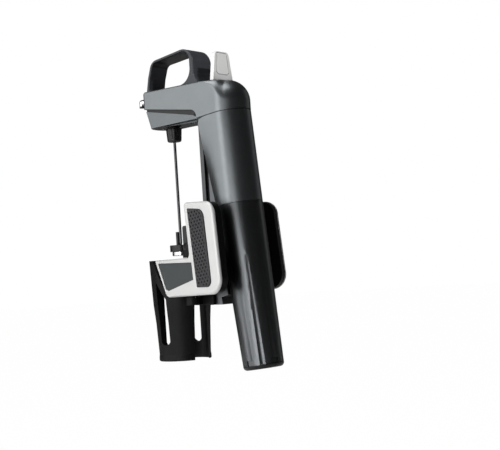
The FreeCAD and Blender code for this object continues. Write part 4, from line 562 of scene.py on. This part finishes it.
# How far the skin stands out of the wing and its last ring lies in it, and the rounding's width.
PAD_PROUD, PAD_DEPTH, PAD_ROUND = 0.75, 2.35, 0.9
# The rim that has no dimples, and the width in which they fade in beside it.
PLAIN_RIM, RIM_FADE = 1.5, 0.4
DIMPLE_ROW, DIMPLE_COLUMN, DIMPLE_RADIUS, DIMPLE_DEPTH, DIMPLE_STEEP = 2.3, 3.4, 0.85, 1.2, 1.8
ROW_LEAN, COLUMN_LEAN = 0.12, 0.1


def bend(start, through, end, steps=9):
    """Quadratic curve from start to end that passes through a point half way: (1 - s) squared
    times start, plus 2 s (1 - s) times control, plus s squared times end."""
    s = np.linspace(0, 1, steps)[:, None]
    start, through, end = (np.array(point, float) for point in (start, through, end))
    control = 2 * through - (start + end) / 2
    return (1 - s) ** 2 * start + 2 * s * (1 - s) * control + s ** 2 * end


def along_line(points, count):
    """The same line as evenly spaced points."""
    steps = np.linalg.norm(np.diff(points, axis=0), axis=1)
    reach = np.concatenate([[0], np.cumsum(steps)])
    even = np.linspace(0, reach[-1], count)
    return np.stack([np.interp(even, reach, points[:, axis]) for axis in (0, 1)], axis=1)


def on_wing(across, height, out, side):
    """Lays points of the wing's flat drawing onto the flared wing, left (+1) or right (-1)."""
    x = WING_X + out * math.cos(WING_FLARE) + across * math.sin(WING_FLARE)
    y = -out * math.sin(WING_FLARE) + across * math.cos(WING_FLARE)
    return np.stack([side * x, y, height], axis=-1)


def dimples(across, height):
    """How deep the nearest dimple is: DIMPLE_DEPTH times DIMPLE_STEEP times 1 less the square of
    gap / DIMPLE_RADIUS, kept between 0 and DIMPLE_DEPTH. gap is the distance to the dimple's
    middle, in a lattice that leans and whose every second row is half a column on."""
    along, rise = across + COLUMN_LEAN * height, height - ROW_LEAN * across
    row = np.round(rise / DIMPLE_ROW)
    shift = np.where(np.mod(row, 2) == 0, 0, 0.5)
    column = np.round(along / DIMPLE_COLUMN - shift) + shift
    gap = np.hypot(along - column * DIMPLE_COLUMN, rise - row * DIMPLE_ROW)
    return DIMPLE_DEPTH * np.clip(DIMPLE_STEEP * (1 - (gap / DIMPLE_RADIUS) ** 2), 0, 1)


def grip(name, side, columns=110, rows=280):
    """A pad as a blend of its two sides: the point at share s of row t is (1 - s) times the inner
    side plus s times the outer side. It stands out by PAD_PROUD, rounded off within PAD_ROUND of
    its edge, less the dimples, which leave a plain rim. A last ring goes down by PAD_DEPTH."""
    inner = along_line(np.array(INNER_SIDE), rows)
    outer = along_line(np.concatenate([bend(*LOWER_CORNER), bend(*UPPER_CORNER)]), rows)
    s = np.linspace(0, 1, columns)[None, :, None]
    flat = (1 - s) * inner[:, None, :] + s * outer[:, None, :]
    across, height = flat[..., 0], flat[..., 1]
    width = np.linalg.norm(outer - inner, axis=1)[:, None]
    from_side = np.minimum(s[..., 0], 1 - s[..., 0]) * width
    t = np.linspace(0, 1, rows)[:, None]
    from_edge = np.minimum(from_side, np.minimum(t, 1 - t) * PAD_HEIGHT)
    crown = PAD_PROUD * (1 - (1 - np.clip(from_edge / PAD_ROUND, 0, 1)) ** 2)
    out = crown - dimples(across, height) * np.clip((from_edge - PLAIN_RIM) / RIM_FADE, 0, 1)
    across, height = np.pad(across, 1, mode="edge"), np.pad(height, 1, mode="edge")
    out = np.pad(out, 1, constant_values=-PAD_DEPTH)
    return surface(name, on_wing(across, height, out, side), RUBBER, flip=side < 0)


for side_name, side in (("left", 1), ("right", -1)):
    pad = grip(f"{side_name}_grip_dimpled", side)
    stand_in(pad, f"{side_name}_grip_pad")
print("triangles in a grip:", 2 * len(pad.data.polygons))

# %% [markdown]
# The camera stands low, to one side and a little behind, and looks up at the head with a slight
# roll. A constraint could aim it, but it would leave no place for the roll. So its direction
# comes from pan and tilt, the roll turns its sides, and the three directions make its matrix.

# %% The camera
CAMERA_AT = np.array([626.20, 559.89, -10.0])
PAN, TILT, ROLL = (math.radians(angle) for angle in (128.378, 2.2716, -3.7497))
FOCAL_PIXELS, PICTURE_WIDTH, SENSOR = 1171.63, 500, 36.0

forward = np.array([-math.sin(PAN) * math.cos(TILT), math.cos(PAN) * math.cos(TILT), math.sin(TILT)])
level_right = np.cross(forward, (0, 0, 1))
level_right /= np.linalg.norm(level_right)
level_up = np.cross(level_right, forward)
right = math.cos(ROLL) * level_right + math.sin(ROLL) * level_up
up = math.cos(ROLL) * level_up - math.sin(ROLL) * level_right

camera_data = bpy.data.cameras.new("camera")
camera_data.sensor_width = SENSOR
camera_data.lens = FOCAL_PIXELS * SENSOR / PICTURE_WIDTH
camera_data.clip_start, camera_data.clip_end = 0.01, 50
camera = bpy.data.objects.new("camera", camera_data)
bpy.context.scene.collection.objects.link(camera)
turn = Matrix([[right[i], up[i], -forward[i]] for i in range(3)]).to_4x4()
camera.matrix_world = Matrix.Translation(Vector(CAMERA_AT * MM)) @ turn
bpy.context.scene.camera = camera
print("lens in mm:", round(camera_data.lens, 2))

# %% [markdown]
# The floor is pale and plain. The object hangs on a bottle's neck, so the floor lies low enough
# for the cup to be drawn off. To the camera it is nearly white, so that it runs into the
# background, and it still takes a faint shadow. The world is white to the eye and a dim grey
# as a lamp: the paint of this object shows its form by what it doesn't reflect. A Light Path
# node tells the two apart, so the background takes no more light to be white.

# %% Floor and world
def seen_directly(tree):
    """1 for camera and transmission rays, and 0 for the rays that carry light or reflections."""
    path = add(tree, "ShaderNodeLightPath")
    return add(tree, "ShaderNodeMath", {"operation": "MAXIMUM"}, in_0=path.outputs["Is Camera Ray"],
               in_1=path.outputs["Is Transmission Ray"]).outputs[0]


WHITE = linear("#FFFFFF")
ROOM_LIGHT = 0.05
FLOOR_HALF, FLOOR_WHITE = 6000, 0.992
JOINTS = {joint["name"]: joint for joint in frame["record"]["behaviour"]["joints"]}
lowest = (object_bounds()[0].z - JOINTS["cup_draw"]["range_m"][1]) / MM
corners = np.array([[(x, y, lowest) for x in (-FLOOR_HALF, FLOOR_HALF)] for y in (-FLOOR_HALF, FLOOR_HALF)])
floor_material = bpy.data.materials.new("pale_studio_floor")
tree = empty_tree(floor_material)
matt = add(tree, "ShaderNodeBsdfDiffuse", Color=linear("#F2F2F2"))
glow = add(tree, "ShaderNodeEmission", Color=WHITE, Strength=1.0)
share = add(tree, "ShaderNodeMath", {"operation": "MULTIPLY"}, in_0=seen_directly(tree), in_1=FLOOR_WHITE)
mixed = add(tree, "ShaderNodeMixShader", in_0=share.outputs[0], in_1=matt.outputs[0], in_2=glow.outputs[0])
add(tree, "ShaderNodeOutputMaterial", Surface=mixed.outputs[0])
floor = surface("floor", corners, floor_material)

world = bpy.data.worlds.new("studio")
bpy.context.scene.world = world
tree = empty_tree(world)
strength = add(tree, "ShaderNodeMix", {"data_type": "FLOAT"}, in_0=seen_directly(tree),
               in_2=ROOM_LIGHT, in_3=1.0)
sky = add(tree, "ShaderNodeBackground", Color=WHITE, Strength=strength.outputs[0])
add(tree, "ShaderNodeOutputWorld", Surface=sky.outputs[0])
print("floor height in mm:", round(lowest, 1))

# %% [markdown]
# A large softbox lights the flat cheek, and a narrow upright one beside it gives the long band
# of light down the tube. A low one reaches the cup, one above rounds the crown, and a weak one
# behind draws the far edge. They are area lamps, because satin paint mirrors the lamp itself,
# and its shape becomes the shape of the highlight. A narrow spot from behind lifts the silver
# lever. Its source is tiny, which keeps the beam's edge crisp and off the crown.

# %% Lamps
MIDDLE = (0, 25, 30)
# Place, aim, width and height in mm, and watts.
SOFTBOXES = {
    "key": ((755, -490, 250), MIDDLE, 1050, 1100, 7.6),
    "tube_strip": ((880, -190, 200), MIDDLE, 300, 1200, 2.0),
    "cup_strip": ((860, 260, -40), (0, 60, -40), 400, 240, 2.2),
    "top_soft": ((250, -120, 900), MIDDLE, 700, 700, 6.0),
    "rim_rear": ((-850, 330, 150), MIDDLE, 300, 1000, 0.3),
}
SPOT_AT, SPOT_AIM = (100, 700, 500), (0, 46, 143)
SPOT_WATTS, SPOT_ANGLE, SPOT_BLEND, SPOT_SOURCE_MM = 18, math.radians(3.4), 0.2, 6


def hang(data, at_mm, look_mm):
    """Hangs a lamp at one point, turned so that it shines at another."""
    lamp = bpy.data.objects.new(data.name, data)
    bpy.context.scene.collection.objects.link(lamp)
    lamp.location = Vector(at_mm) * MM
    lamp.rotation_euler = (Vector(look_mm) - Vector(at_mm)).to_track_quat("-Z", "Y").to_euler()


for name, (place, aim, width, height, watts) in SOFTBOXES.items():
    softbox = bpy.data.lights.new(name, "AREA")
    softbox.shape = "RECTANGLE"
    softbox.size, softbox.size_y = width * MM, height * MM
    softbox.energy = watts
    hang(softbox, place, aim)

lever_spot = bpy.data.lights.new("lever_spot", "SPOT")
lever_spot.energy = SPOT_WATTS
lever_spot.spot_size, lever_spot.spot_blend = SPOT_ANGLE, SPOT_BLEND
lever_spot.shadow_soft_size = SPOT_SOURCE_MM * MM
hang(lever_spot, SPOT_AT, SPOT_AIM)
bpy.context.scene.view_settings.view_transform = "Standard"
print("lamps:", len(bpy.data.lights))
